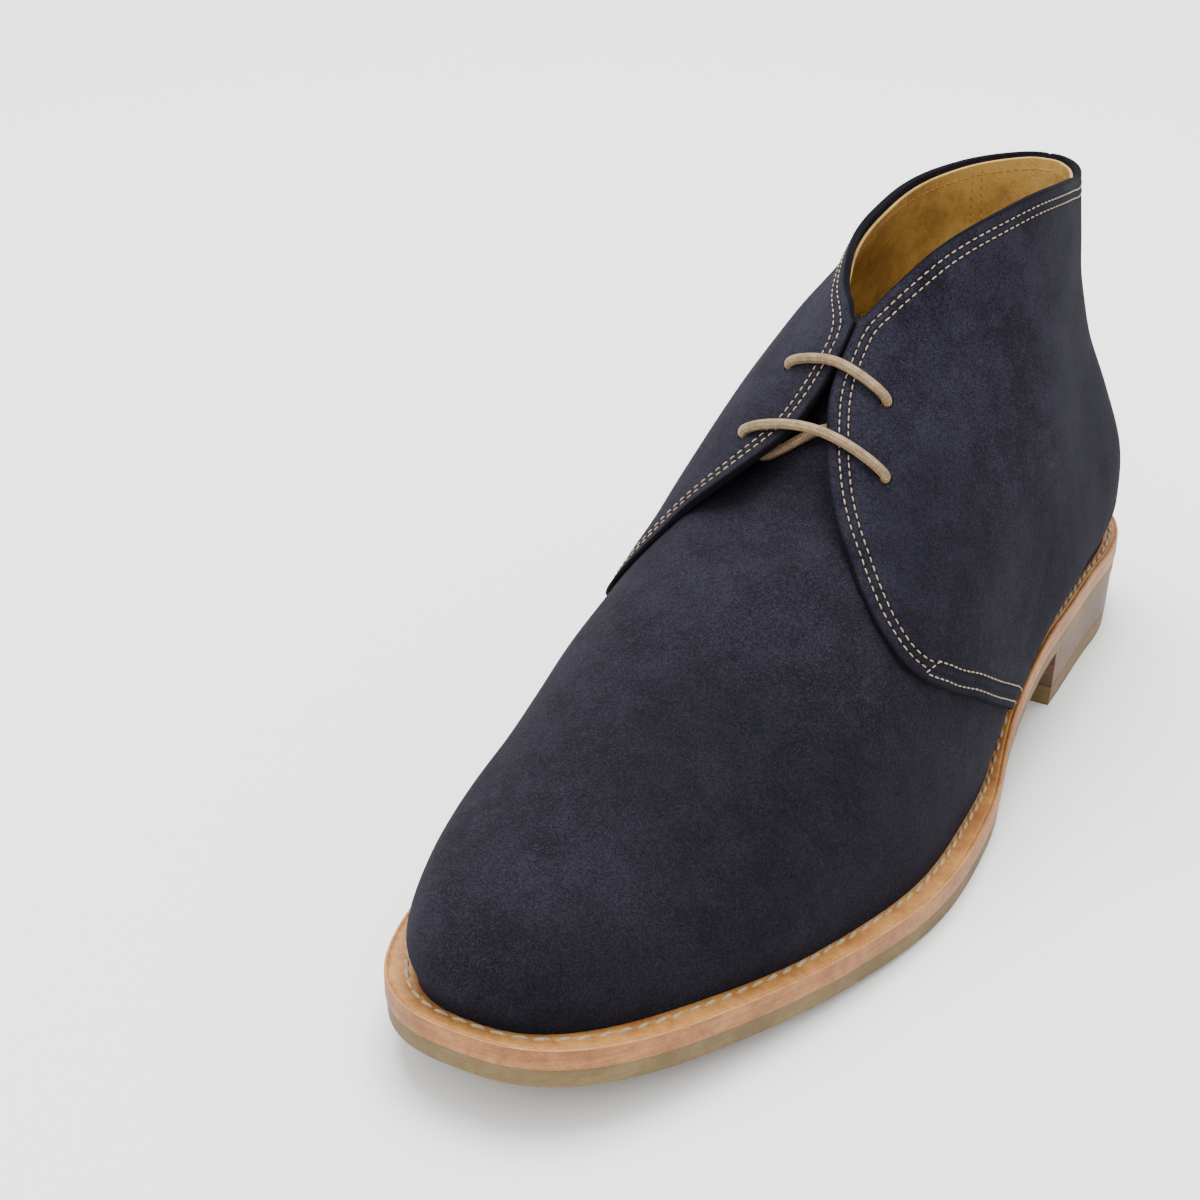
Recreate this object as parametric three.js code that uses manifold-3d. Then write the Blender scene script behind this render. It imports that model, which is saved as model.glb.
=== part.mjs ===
// Chukka boot for the left foot: a stitched leather sole on a rubber outsole and a low block
// heel, a hollow suede upper with two quarters, a tongue and a waxed lace in four eyelets.
// Units are millimetres with +Z up. The toe points along -Y and the outer side of the foot is +X.
// A station is a distance forward from the back of the heel. A level is a step up the upper:
// each level is one closed loop that runs from the heel curve (0 degrees) along the outer side to
// the ridge of the vamp (180 degrees) and back along the inner side (360 degrees).
import * as THREE from 'three';
import Module from 'manifold-3d';

const wasm = await Module();
wasm.setup();

// Driving sizes
const SOLE_LENGTH = 305;
const GAP = 0.3;
const OVERLAY_GAP = 0.8;
const SEAT_GAP = 0.8;
const OUTSOLE = 4.2;
const MIDSOLE = 2.4;
const WELT = 2.0;
const HEEL_RISE = 16.8;
const HEEL_LIFT = 5.5;
const BREAST = 80;
const BALL = 159;
const ARCH_START = 141;
const TOE_SPRING = 11.5;
const HEEL_CAP = { length: 41, power: 2.1 };
const TOE_CAP = { length: 62.5, power: 2.7 };
const WELT_REAR = 3.3;
const WELT_FRONT = 5.7;
const SEAT = { back: 3.4, front: 299.4 };
const WALL = 2.3;
const OVERLAY = 1.2;
const INSOLE = 3;
const INSOLE_MARGIN = 1.8;
const LACE = 2.5;
const HOLE = 3.8;

// Half widths of the sole at equal steps from heel to toe, before the round ends take over
const SOLE_ROWS = [
  { outer: 34.8, inner: 29.2 },
  { outer: 33.8, inner: 35.2 },
  { outer: 37.3, inner: 35.8 },
  { outer: 40.4, inner: 39.0 },
  { outer: 50.4, inner: 47.6 },
  { outer: 54.4, inner: 54.8 },
  { outer: 48.9, inner: 48.0 },
  { outer: 38.8, inner: 40.1 },
  { outer: 32.0, inner: 34.4 },
];

// One row for each level: where the loop starts at the back and turns at the ridge, and how far
// its round ends reach along the foot
const LEVELS = [
  { backS: 3.4, backZ: 26.8, backCap: 42, ridgeS: 299.4, ridgeZ: 20.7, ridgeCap: 68, power: 2.65 },
  { backS: 2.4, backZ: 38.0, backCap: 42, ridgeS: 300.8, ridgeZ: 28.1, ridgeCap: 76, power: 2.5 },
  { backS: 3.1, backZ: 52.0, backCap: 42, ridgeS: 296.5, ridgeZ: 35.6, ridgeCap: 90.6, power: 2.3 },
  { backS: 7.2, backZ: 68.0, backCap: 40, ridgeS: 279, ridgeZ: 40.6, ridgeCap: 110, power: 2.1 },
  { backS: 12.2, backZ: 84.0, backCap: 38, ridgeS: 245, ridgeZ: 50.0, ridgeCap: 121, power: 2 },
  { backS: 14.8, backZ: 99.0, backCap: 37, ridgeS: 205, ridgeZ: 66.0, ridgeCap: 128, power: 2 },
  { backS: 15.2, backZ: 114.0, backCap: 39, ridgeS: 168, ridgeZ: 84.4, ridgeCap: 124, power: 2 },
  { backS: 14.5, backZ: 129.0, backCap: 46, ridgeS: 132, ridgeZ: 106.1, ridgeCap: 116, power: 2 },
  { backS: 13.5, backZ: 144.0, backCap: 52, ridgeS: 100, ridgeZ: 140.5, ridgeCap: 74, power: 2 },
];

// How far each level swells beyond the edge of its seat on the welt, at four stations
const SWELL_STATIONS = [30, 95, 200, 265];
const SWELL_OUTER = [
  { heel: 0, waist: 0, ball: 0, toe: 0 },
  { heel: 0.8, waist: 3.6, ball: -0.4, toe: 1.4 },
  { heel: 0.5, waist: 2.9, ball: -3.3, toe: 0.9 },
  { heel: -3.8, waist: 0.7, ball: -7.6, toe: -1.9 },
  { heel: -9, waist: -1.5, ball: -10.8, toe: -7.5 },
  { heel: -12, waist: -5.1, ball: -12.4, toe: -13.5 },
  { heel: -13.6, waist: -7.1, ball: -14.4, toe: -15.6 },
  { heel: -14.5, waist: -8.2, ball: -14.6, toe: -17.9 },
  { heel: -14.8, waist: -9.1, ball: -14.6, toe: -20.2 },
];
const SWELL_INNER = [
  { heel: 0, waist: 0, ball: 0, toe: 0 },
  { heel: 2.6, waist: 4.9, ball: -1.2, toe: 4.0 },
  { heel: 2.5, waist: 7.6, ball: -1.5, toe: 3.2 },
  { heel: 0.4, waist: 9.5, ball: -3.6, toe: 0 },
  { heel: -3.2, waist: 9.7, ball: -5.4, toe: -7 },
  { heel: -6.2, waist: 8.5, ball: -5.6, toe: -13.7 },
  { heel: -7.4, waist: 3.6, ball: -6.5, toe: -16 },
  { heel: -7.6, waist: -2.6, ball: -9, toe: -18.2 },
  { heel: -7.7, waist: -7.7, ball: -12, toe: -20.2 },
];

// The top edge of the collar: its level at even steps round the whole loop, higher on the outer side
const COLLAR_LEVELS = [
  6.86, 6.92, 7.12, 7.46, 7.7, 7.82, 7.8, 7.67, 7.39, 7.33, 7.42, 7.38, 7.3, 7.18, 7.03, 6.9, 6.86,
];

const THROAT_NOTCH = { angle: 187, width: 8, depth: 0.13 };

// The front edge of each quarter, as an angle from the back seam on its own side: it rises from the
// welt along the vamp seam to the corner, then follows the facing up to the collar
const QUARTER_EDGE = [
  { level: 0, outer: 76, inner: 76 },
  { level: 1, outer: 80.5, inner: 80.5 },
  { level: 1.5, outer: 84, inner: 84 },
  { level: 2.4, outer: 92.3, inner: 92.3 },
  { level: 3.1, outer: 100.5, inner: 100.5 },
  { level: 3.5, outer: 107, inner: 107 },
  { level: 4.0, outer: 114.8, inner: 114.8 },
  { level: 4.3, outer: 119.5, inner: 119.5 },
  { level: 4.85, outer: 130, inner: 129.5 },
  { level: 5.35, outer: 140.3, inner: 139 },
  { level: 5.75, outer: 150.5, inner: 149 },
  { level: 6.1, outer: 160.5, inner: 159.5 },
  { level: 6.45, outer: 171.5, inner: 170 },
  { level: 6.7, outer: 180.5, inner: 171.7 },
  { level: 6.85, outer: 185, inner: 172.8 },
  { level: 7.2, outer: 186.2, inner: 172.4 },
  { level: 8, outer: 186.2, inner: 172.4 },
];
const CORNER_LEVEL = 3.5;
const THROAT_LEVEL = 5.35;

const EYELETS = {
  outerUpper: { level: 6.67, angle: 153 },
  outerLower: { level: 5.97, angle: 140 },
  innerUpper: { level: 6.67, angle: 217 },
  innerLower: { level: 6.13, angle: 214.5 },
};

// How many levels the middle of each run of the lace rises above its eyelets, so that it lies taut
const UPPER_RISE = 0.27;
const LOWER_RISE = 0.42;
const CROSS_RISE = 0.2;

// The tongue's half angle at the ends of its run, and how deep it lies under the facings
const TONGUE = {
  low: 4.95, high: 7.15, halfLow: 40, halfHigh: 36, thick: 2, lowGap: 0.4, highGap: 4.3,
};

const suede = new THREE.MeshStandardMaterial({ color: 0x23263a, roughness: 0.95, metalness: 0 });
const lining = new THREE.MeshStandardMaterial({ color: 0xb07c36, roughness: 0.7, metalness: 0 });
const weltLeather = new THREE.MeshStandardMaterial({ color: 0xc08440, roughness: 0.6, metalness: 0 });
const edgeLeather = new THREE.MeshStandardMaterial({ color: 0xb08d78, roughness: 0.65, metalness: 0 });
const rubber = new THREE.MeshStandardMaterial({ color: 0xa08f68, roughness: 0.75, metalness: 0 });
const cord = new THREE.MeshStandardMaterial({ color: 0xc9b48c, roughness: 0.8, metalness: 0 });

// --- Curves -----------------------------------------------------------------------------------

/** Smooth value at position t (0 to n - 1) through a list of evenly spaced values. */
function smooth(values, t) {
  const last = values.length - 1;
  const i = Math.min(Math.max(Math.floor(t), 0), last - 1);
  const f = t - i;
  const b = values[i];
  const c = values[i + 1];
  const a = i > 0 ? values[i - 1] : 2 * b - c;
  const d = i + 1 < last ? values[i + 2] : 2 * c - b;
  return b + 0.5 * f * (c - a + f * (2 * a - 5 * b + 4 * c - d + f * (3 * (b - c) + d - a)));
}

/** Smooth value of one named column of a table. */
function column(rows, name, t) {
  return smooth(rows.map((row) => row[name]), t);
}

/** Soft step from 0 to 1 as f goes from 0 to 1. */
function ease(f) {
  const g = Math.min(Math.max(f, 0), 1);
  return g * g * (3 - 2 * g);
}

/** Share of the full width left at a distance from a rounded end. */
function roundEnd(distance, length, power) {
  const f = Math.min(Math.max(1 - distance / length, 0), 1);
  return (1 - f ** power) ** (1 / power);
}

/** Height of the underside of the sole: flat under the ball, arched to the heel, sprung at the toe. */
function underside(s) {
  const spring = TOE_SPRING * (Math.max(s - BALL, 0) / (SOLE_LENGTH - BALL)) ** 2;
  const arch = HEEL_RISE * ease((ARCH_START - s) / (ARCH_START - BREAST));
  return spring + arch;
}

/** Height of the seat of the upper on the welt. */
function seat(s) {
  return underside(s) + OUTSOLE + MIDSOLE + WELT + 2 * GAP + SEAT_GAP;
}

/** Side positions of the sole's two edges at a station, before the round ends. */
function soleSides(s) {
  const t = (s / SOLE_LENGTH) * (SOLE_ROWS.length - 1);
  return { outer: column(SOLE_ROWS, 'outer', t), inner: column(SOLE_ROWS, 'inner', t) };
}

/** How much of the welt shows at a station. */
function weltWidth(s) {
  return WELT_REAR + (WELT_FRONT - WELT_REAR) * ease((s - 110) / 60);
}

// --- The sole's outline -----------------------------------------------------------------------

/**
 * Outline of the sole drawn in by an inset, as points with x and s: from the heel along the outer
 * side, and back along the inner side. It ends at a straight breast when end is short of the toe.
 */
function outline(inset, end = SOLE_LENGTH, count = 52) {
  const full = end === SOLE_LENGTH;
  const outer = [];
  const inner = [];
  for (let i = 0; i <= count; i += 1) {
    const f = (Math.PI * i) / count;
    const turn = full ? (1 - Math.cos(f)) / 2 : 1 - Math.cos(f / 2);
    const s = end * turn;
    const sides = soleSides(s);
    const ends = roundEnd(s, HEEL_CAP.length, HEEL_CAP.power)
      * roundEnd(SOLE_LENGTH - s, TOE_CAP.length, TOE_CAP.power);
    const middle = (sides.outer - sides.inner) / 2;
    const half = ((sides.outer + sides.inner) / 2) * ends;
    outer.push(new THREE.Vector2(middle + half, s));
    inner.push(new THREE.Vector2(middle - half, s));
  }
  const loop = [...outer, ...inner.slice(1, full ? -1 : undefined).reverse()];
  return loop.map((point, i) => {
    const before = loop[(i + loop.length - 1) % loop.length];
    const after = loop[(i + 1) % loop.length];
    const along = after.clone().sub(before).normalize();
    const size = typeof inset === 'function' ? inset(point.y) : inset;
    const atBreast = !full && point.y > end - 1e-6;
    const side = Math.sign(point.x);
    return atBreast
      ? new THREE.Vector2(point.x - side * size, point.y)
      : new THREE.Vector2(point.x - along.y * size, point.y + along.x * size);
  });
}

/** A loop of outline points lifted to a height that depends on the station. */
function lift(points, height) {
  return points.map((point) => new THREE.Vector3(point.x, SOLE_LENGTH / 2 - point.y, height(point.y)));
}

// --- Solids -----------------------------------------------------------------------------------

/** Turns shared vertices and triangles into a solid with its faces pointing out. */
function solid(points, triangles) {
  let volume = 0;
  for (let i = 0; i < triangles.length; i += 3) {
    const [a, b, c] = [0, 1, 2].map((k) => points[triangles[i + k]]);
    volume += a.dot(b.clone().cross(c));
  }
  const turned = volume > 0 ? triangles : triangles.slice().reverse();
  const vertProperties = new Float32Array(points.flatMap((p) => [p.x, p.y, p.z]));
  const triVerts = new Uint32Array(turned);
  return new wasm.Manifold(new wasm.Mesh({ numProp: 3, vertProperties, triVerts }));
}

/** Adds a four-cornered face as two triangles, or one where two corners are the same. */
function addFace(triangles, a, b, c, d) {
  if (a !== b && b !== c && c !== a) triangles.push(a, b, c);
  if (a !== c && c !== d && d !== a) triangles.push(a, c, d);
}

/** Joins each loop to the next. With ring, the last meets the first; otherwise both ends close. */
function loft(loops, ring) {
  const n = loops[0].length;
  const triangles = [];
  const rows = ring ? loops.length : loops.length - 1;
  for (let r = 0; r < rows; r += 1) {
    const low = r * n;
    const high = ((r + 1) % loops.length) * n;
    for (let i = 0; i < n; i += 1) {
      const j = (i + 1) % n;
      addFace(triangles, low + i, low + j, high + j, high + i);
    }
  }
  if (!ring) {
    const top = (loops.length - 1) * n;
    for (let i = 0; i < Math.floor(n / 2); i += 1) {
      const [a, b, c, d] = [i, i + 1, (n - i - 1) % n, (n - i) % n];
      addFace(triangles, d, c, b, a);
      addFace(triangles, top + a, top + b, top + c, top + d);
    }
  }
  return solid(loops.flat(), triangles);
}

/** A curved slab from a grid of outer points and a matching grid of inner points. */
function slab(outerGrid, innerGrid) {
  const rows = outerGrid.length;
  const columns = outerGrid[0].length;
  const points = [...outerGrid.flat(), ...innerGrid.flat()];
  const inside = rows * columns;
  const at = (r, c) => r * columns + c;
  const triangles = [];
  for (let r = 0; r + 1 < rows; r += 1) {
    for (let c = 0; c + 1 < columns; c += 1) {
      addFace(triangles, at(r, c), at(r, c + 1), at(r + 1, c + 1), at(r + 1, c));
      const [a, b, d, e] = [at(r + 1, c), at(r + 1, c + 1), at(r, c + 1), at(r, c)];
      addFace(triangles, inside + a, inside + b, inside + d, inside + e);
    }
    addFace(triangles, at(r + 1, 0), inside + at(r + 1, 0), inside + at(r, 0), at(r, 0));
    const c = columns - 1;
    addFace(triangles, at(r, c), inside + at(r, c), inside + at(r + 1, c), at(r + 1, c));
  }
  for (let c = 0; c + 1 < columns; c += 1) {
    addFace(triangles, at(0, c), inside + at(0, c), inside + at(0, c + 1), at(0, c + 1));
    const r = rows - 1;
    addFace(triangles, at(r, c + 1), inside + at(r, c + 1), inside + at(r, c), at(r, c));
  }
  return solid(points, triangles);
}

/** Named mesh of a solid. */
function piece(name, body, material) {
  const mesh = body.getMesh();
  const geometry = new THREE.BufferGeometry();
  geometry.setAttribute('position', new THREE.BufferAttribute(mesh.vertProperties, 3));
  geometry.setIndex(new THREE.BufferAttribute(mesh.triVerts, 1));
  geometry.computeVertexNormals();
  const part = new THREE.Mesh(geometry, material);
  part.name = name;
  return part;
}

// --- The upper's surface ----------------------------------------------------------------------

/** How far a level swells beyond its seat at a station. */
function swell(rows, level, s) {
  const names = ['heel', 'waist', 'ball', 'toe'];
  const values = names.map((name) => column(rows, name, level));
  const x = Math.min(Math.max(s, SWELL_STATIONS[0]), SWELL_STATIONS[3]);
  const i = Math.min(Math.max(SWELL_STATIONS.findIndex((station) => station >= x) - 1, 0), 2);
  const f = (x - SWELL_STATIONS[i]) / (SWELL_STATIONS[i + 1] - SWELL_STATIONS[i]);
  return values[i] + (values[i + 1] - values[i]) * ease(f);
}

/** How far the seat dips below a straight line from heel to toe. */
function dip(s) {
  const along = (s - SEAT.back) / (SEAT.front - SEAT.back);
  return seat(s) - seat(SEAT.back) - (seat(SEAT.front) - seat(SEAT.back)) * along;
}

/** Point of the upper's outer surface at a level and an angle in degrees. */
function surface(level, angle) {
  const turn = THREE.MathUtils.degToRad(angle);
  const row = {};
  for (const name of Object.keys(LEVELS[0])) row[name] = column(LEVELS, name, level);
  const along = (1 - Math.cos(turn)) / 2;
  const s = row.backS + (row.ridgeS - row.backS) * along;
  const ends = roundEnd(s - row.backS, row.backCap, 2.1)
    * roundEnd(row.ridgeS - s, row.ridgeCap, row.power);
  const sides = soleSides(s);
  const outer = sides.outer - weltWidth(s) + swell(SWELL_OUTER, level, s);
  const inner = sides.inner - weltWidth(s) + swell(SWELL_INNER, level, s);
  const x = (outer - inner) / 2 + Math.sign(Math.sin(turn)) * ((outer + inner) / 2) * ends;
  const fade = Math.max(1 - level / 7, 0);
  const slope = dip(row.backS) + (dip(row.ridgeS) - dip(row.backS)) * along;
  const z = row.backZ + (row.ridgeZ - row.backZ) * along + fade * (dip(s) - slope);
  return new THREE.Vector3(x, SOLE_LENGTH / 2 - s, z);
}

/** Outward direction of the surface. */
function facing(level, angle) {
  const low = Math.max(level - 0.04, 0);
  const up = surface(level + 0.04, angle).sub(surface(low, angle));
  const round = surface(level, angle + 1).sub(surface(level, angle - 1));
  return up.cross(round).normalize();
}

/** Point at a distance outside (or, if negative, inside) the surface. */
function skin(level, angle, distance) {
  return surface(level, angle).addScaledVector(facing(level, angle), distance);
}

/** Level of the collar's edge at an angle, with a notch where the facings part. */
function collarLevel(angle) {
  const notch = THROAT_NOTCH.depth * Math.exp(-(((angle - THROAT_NOTCH.angle) / THROAT_NOTCH.width) ** 2));
  return smooth(COLLAR_LEVELS, (angle / 360) * (COLLAR_LEVELS.length - 1)) - notch;
}

/** Angle of a quarter's front edge at a level, measured round the whole loop. */
function quarterEdge(side, level) {
  const i = Math.max(QUARTER_EDGE.findIndex((row) => row.level >= level), 1);
  const [low, high] = [QUARTER_EDGE[i - 1], QUARTER_EDGE[i]];
  const angle = low[side] + ((high[side] - low[side]) * (level - low.level)) / (high.level - low.level);
  return side === 'outer' ? angle : 360 - angle;
}

// --- Sub-parts --------------------------------------------------------------------------------

const LOOP_STEPS = 52;

/** One loop of the upper at a distance from its surface. */
function loopAt(level, distance) {
  const points = [];
  for (let i = 0; i < LOOP_STEPS; i += 1) {
    const angle = (360 * i) / LOOP_STEPS;
    const height = typeof level === 'function' ? level(angle) : level;
    points.push(skin(height, angle, distance));
  }
  return points;
}

/** Everything above the collar's edge, as a thick ring that is cut away. */
function collarCutter() {
  const above = (f) => (angle) => collarLevel(angle) + f * (8.3 - collarLevel(angle));
  const outside = [0, 0.25, 0.6, 1].map((f) => loopAt(above(f), 4));
  const inside = [1, 0.6, 0.25, 0].map((f) => loopAt(above(f), -7));
  return loft([...outside, ...inside], true);
}

/** Grid of points over a range of levels, between two edges given as functions of level. */
function grid(levels, fromAngle, toAngle, columns, distance) {
  return levels.map((level) => {
    const points = [];
    for (let c = 0; c <= columns; c += 1) {
      const angle = fromAngle(level) + ((toAngle(level) - fromAngle(level)) * c) / columns;
      points.push(skin(level, angle, distance(level)));
    }
    return points;
  });
}

/** Even steps from one value to another. */
function steps(from, to, count) {
  return Array.from({ length: count + 1 }, (_, i) => from + ((to - from) * i) / count);
}

/** The gap between the facings, as a thick slab that is cut away. */
function throatCutter() {
  const levels = steps(THROAT_LEVEL, 8, 14);
  const ends = [(level) => quarterEdge('outer', level), (level) => quarterEdge('inner', level)];
  const outside = grid(levels, ...ends, 8, () => 5);
  const inside = grid(levels, ...ends, 8, () => -6);
  return slab(outside, inside);
}

/** A round cutter across the wall at one eyelet. */
function eyeletCutter({ level, angle }) {
  const turn = new THREE.Quaternion().setFromUnitVectors(new THREE.Vector3(0, 1, 0), facing(level, angle));
  const middle = surface(level, angle);
  const ring = (height) => {
    const points = [];
    for (let i = 0; i < 12; i += 1) {
      const a = (Math.PI * i) / 6;
      const point = new THREE.Vector3((Math.cos(a) * HOLE) / 2, height, (Math.sin(a) * HOLE) / 2);
      points.push(point.applyQuaternion(turn).add(middle));
    }
    return points;
  };
  return loft([ring(-8), ring(8)], false);
}

/** The upper's wall with its collar, throat and eyelets. */
function upper(cutters) {
  const levels = steps(0, 8, 15);
  const outside = levels.map((level) => loopAt(level, 0));
  const inside = levels.map((level) => loopAt(level, -WALL)).reverse();
  inside.at(-1).forEach((point, i) => point.setZ(outside[0][i].z));
  return cutters.reduce((body, cutter) => body.subtract(cutter), loft([...outside, ...inside], true));
}

/** One quarter's outer layer, standing proud of the wall. */
function quarter(side, cutters) {
  const levels = [...steps(0.12, CORNER_LEVEL, 6), ...steps(CORNER_LEVEL, 8, 10).slice(1)];
  const ends = [() => (side === 'outer' ? 1.2 : 358.8), (level) => quarterEdge(side, level)];
  const outside = grid(levels, ...ends, 15, () => OVERLAY_GAP + OVERLAY);
  const inside = grid(levels, ...ends, 15, () => OVERLAY_GAP);
  const body = slab(outside, inside);
  return cutters.reduce((rest, cutter) => rest.subtract(cutter), body);
}

/** The tongue under the facings. */
function tongue() {
  const levels = steps(TONGUE.low, TONGUE.high, 10);
  const share = (level) => (level - TONGUE.low) / (TONGUE.high - TONGUE.low);
  const half = (level) => TONGUE.halfLow + (TONGUE.halfHigh - TONGUE.halfLow) * share(level);
  const drop = (level) => (TONGUE.highGap - TONGUE.lowGap) * ease(share(level) / 0.35);
  const depth = (level) => -WALL - TONGUE.lowGap - drop(level);
  const ends = [(level) => 180 - half(level), (level) => 180 + half(level)];
  return slab(grid(levels, ...ends, 12, depth), grid(levels, ...ends, 12, (l) => depth(l) - TONGUE.thick));
}

/** The welt: a flat ring whose inner edge runs under the upper. */
function welt() {
  const base = (s) => underside(s) + OUTSOLE + MIDSOLE + 2 * GAP;
  const outer = outline(0);
  const inner = outline((s) => weltWidth(s) + WALL + 2);
  return loft([lift(outer, base), lift(outer, (s) => base(s) + WELT),
    lift(inner, (s) => base(s) + WELT), lift(inner, base)], true);
}

/** A sole layer that follows the underside from one height above it to another. */
function layer(inset, low, high) {
  const points = outline(inset);
  return loft([lift(points, (s) => underside(s) + low), lift(points, (s) => underside(s) + high)], false);
}

/** A heel block between two heights, with its inset at each. */
function heelBlock(low, high, lowInset, highInset) {
  const foot = lift(outline(lowInset, BREAST, 22), low);
  const top = lift(outline(highInset, BREAST, 22), high);
  return loft([foot, top], false);
}

/** The lace: two bars over the facings, a crossing under them, and its hidden ends. */
function laceRoute() {
  const over = OVERLAY + OVERLAY_GAP + LACE / 2 + 0.7;
  const under = -WALL - LACE / 2 - 0.7;
  const { outerUpper, outerLower, innerUpper, innerLower } = EYELETS;
  const at = (eyelet, distance) => skin(eyelet.level, eyelet.angle, distance);
  const between = (a, b, f, distance, rise = 0) => skin(
    a.level + (b.level - a.level) * f + 4 * rise * f * (1 - f),
    a.angle + (b.angle - a.angle) * f,
    distance,
  );
  const top = OVERLAY + OVERLAY_GAP + 0.7;
  const low = -WALL - 0.7;
  const middle = (top + low) / 2;
  return [
    at(innerUpper, under - 0.6),
    at(innerUpper, low),
    at(innerUpper, middle),
    at(innerUpper, top),
    between(innerUpper, outerUpper, 0.1, over, UPPER_RISE),
    between(innerUpper, outerUpper, 0.5, over + 0.2, UPPER_RISE),
    between(innerUpper, outerUpper, 0.9, over, UPPER_RISE),
    at(outerUpper, top),
    at(outerUpper, middle),
    at(outerUpper, low),
    between(outerUpper, innerLower, 0.09, under),
    between(outerUpper, innerLower, 0.5, under, CROSS_RISE),
    between(outerUpper, innerLower, 0.91, under),
    at(innerLower, low),
    at(innerLower, middle),
    at(innerLower, top),
    between(innerLower, outerLower, 0.08, over, LOWER_RISE),
    between(innerLower, outerLower, 0.3, over, LOWER_RISE),
    between(innerLower, outerLower, 0.5, over - 0.1, LOWER_RISE),
    between(innerLower, outerLower, 0.7, over, LOWER_RISE),
    between(innerLower, outerLower, 0.92, over, LOWER_RISE),
    at(outerLower, top),
    at(outerLower, middle),
    at(outerLower, low),
    between(outerLower, outerUpper, 0.25, under),
    between(outerLower, outerUpper, 0.6, under),
  ];
}

/** A round cord along a route. */
function cordAlong(route, diameter) {
  const curve = new THREE.CatmullRomCurve3(route, false, 'centripetal');
  const section = new THREE.Shape();
  section.absarc(0, 0, diameter / 2, 0, Math.PI * 2);
  const settings = { steps: 80, extrudePath: curve, curveSegments: 4, bevelEnabled: false };
  return new THREE.ExtrudeGeometry(section, settings);
}

// --- Assembly ---------------------------------------------------------------------------------

const group = new THREE.Group();
const cutCollar = collarCutter();
const cutThroat = throatCutter();
const outerEyelets = [EYELETS.outerUpper, EYELETS.outerLower].map(eyeletCutter);
const innerEyelets = [EYELETS.innerUpper, EYELETS.innerLower].map(eyeletCutter);
const midLow = OUTSOLE + GAP;
const heelTop = (s) => underside(s) - GAP;

group.add(piece('outsole', layer(0.3, 0, OUTSOLE), rubber));
group.add(piece('midsole', layer(0, midLow, midLow + MIDSOLE), edgeLeather));
group.add(piece('welt', welt(), weltLeather));
group.add(piece('heel_stack', heelBlock(() => HEEL_LIFT + GAP, heelTop, 1.4, 0.8), edgeLeather));
group.add(piece('heel_lift', heelBlock(() => 0, () => HEEL_LIFT, 1.8, 1.4), rubber));
const insoleLow = seat(0) - underside(0);
const insoleInset = (s) => weltWidth(s) + WALL + INSOLE_MARGIN;
group.add(piece('insole', layer(insoleInset, insoleLow, insoleLow + INSOLE), lining));
group.add(piece('upper', upper([cutCollar, cutThroat, ...outerEyelets, ...innerEyelets]), suede));
group.add(piece('quarter_outer', quarter('outer', [cutCollar, ...outerEyelets]), suede));
group.add(piece('quarter_inner', quarter('inner', [cutCollar, ...innerEyelets]), suede));
group.add(piece('tongue', tongue(), lining));
const lace = new THREE.Mesh(cordAlong(laceRoute(), LACE), cord);
lace.name = 'lace';
group.add(lace);

export default group;
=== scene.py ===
"""A left chukka boot: stitched sole, low block heel, suede upper, leather lining and waxed lace."""
import logging
import math
from dataclasses import dataclass
from enum import Enum
from typing import Callable, Sequence

import bpy
import numpy as np
from mathutils import Matrix, Vector


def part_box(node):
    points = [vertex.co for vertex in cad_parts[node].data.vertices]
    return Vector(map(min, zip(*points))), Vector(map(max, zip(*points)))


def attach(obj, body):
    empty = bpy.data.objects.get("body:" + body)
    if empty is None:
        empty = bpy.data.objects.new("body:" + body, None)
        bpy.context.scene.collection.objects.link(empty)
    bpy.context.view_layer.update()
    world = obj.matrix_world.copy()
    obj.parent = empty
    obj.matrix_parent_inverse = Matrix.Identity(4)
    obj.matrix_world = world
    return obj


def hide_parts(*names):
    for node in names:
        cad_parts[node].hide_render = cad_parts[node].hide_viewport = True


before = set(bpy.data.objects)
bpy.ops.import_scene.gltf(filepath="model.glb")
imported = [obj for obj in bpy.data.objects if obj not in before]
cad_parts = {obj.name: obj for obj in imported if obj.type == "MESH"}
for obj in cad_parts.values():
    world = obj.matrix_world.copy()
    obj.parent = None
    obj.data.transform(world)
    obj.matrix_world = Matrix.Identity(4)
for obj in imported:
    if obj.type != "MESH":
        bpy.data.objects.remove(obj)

log = logging.getLogger("chukka")

MM = 0.001
SHIFT = np.zeros(3)

Array = np.ndarray
Measure = float | Callable[[Array], Array]
Colour = tuple[float, float, float, float]
Piece = bpy.types.Object
Material = bpy.types.Material
NodeTree = bpy.types.NodeTree
Node = bpy.types.Node
Socket = bpy.types.NodeSocket


class Side(Enum):
    """Which side of the foot a quarter covers."""

    OUTER = "outer"
    INNER = "inner"


# --- Curves ---


def smooth(values: Sequence[float], t: Array) -> Array:
    """Smooth curve through evenly spaced values.

    Args:
        values: The values, one step apart.
        t: Positions from 0 to the number of values less one.

    Returns:
        The curve at each position.
    """
    v = np.asarray(values, float)
    held = np.concatenate([[2 * v[0] - v[1]], v, [2 * v[-1] - v[-2]]])
    i = np.clip(np.floor(t).astype(int), 0, len(v) - 2)
    f = t - i
    a, b, c, d = held[i], held[i + 1], held[i + 2], held[i + 3]
    return b + 0.5 * f * (c - a + f * (2 * a - 5 * b + 4 * c - d + f * (3 * (b - c) + d - a)))


def ease(f: Array) -> Array:
    """Soft step."""
    g = np.clip(f, 0.0, 1.0)
    return g * g * (3 - 2 * g)


def round_end(distance: Array, length: Array, power: Array) -> Array:
    """Share of the full width left near a rounded end."""
    f = np.clip(1 - distance / length, 0.0, 1.0)
    return (1 - f**power) ** (1 / power)


def unit(v: Array) -> Array:
    """Vectors made one long."""
    return v / (np.linalg.norm(v, axis=-1, keepdims=True) + 1e-12)


# --- The last ---


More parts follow.
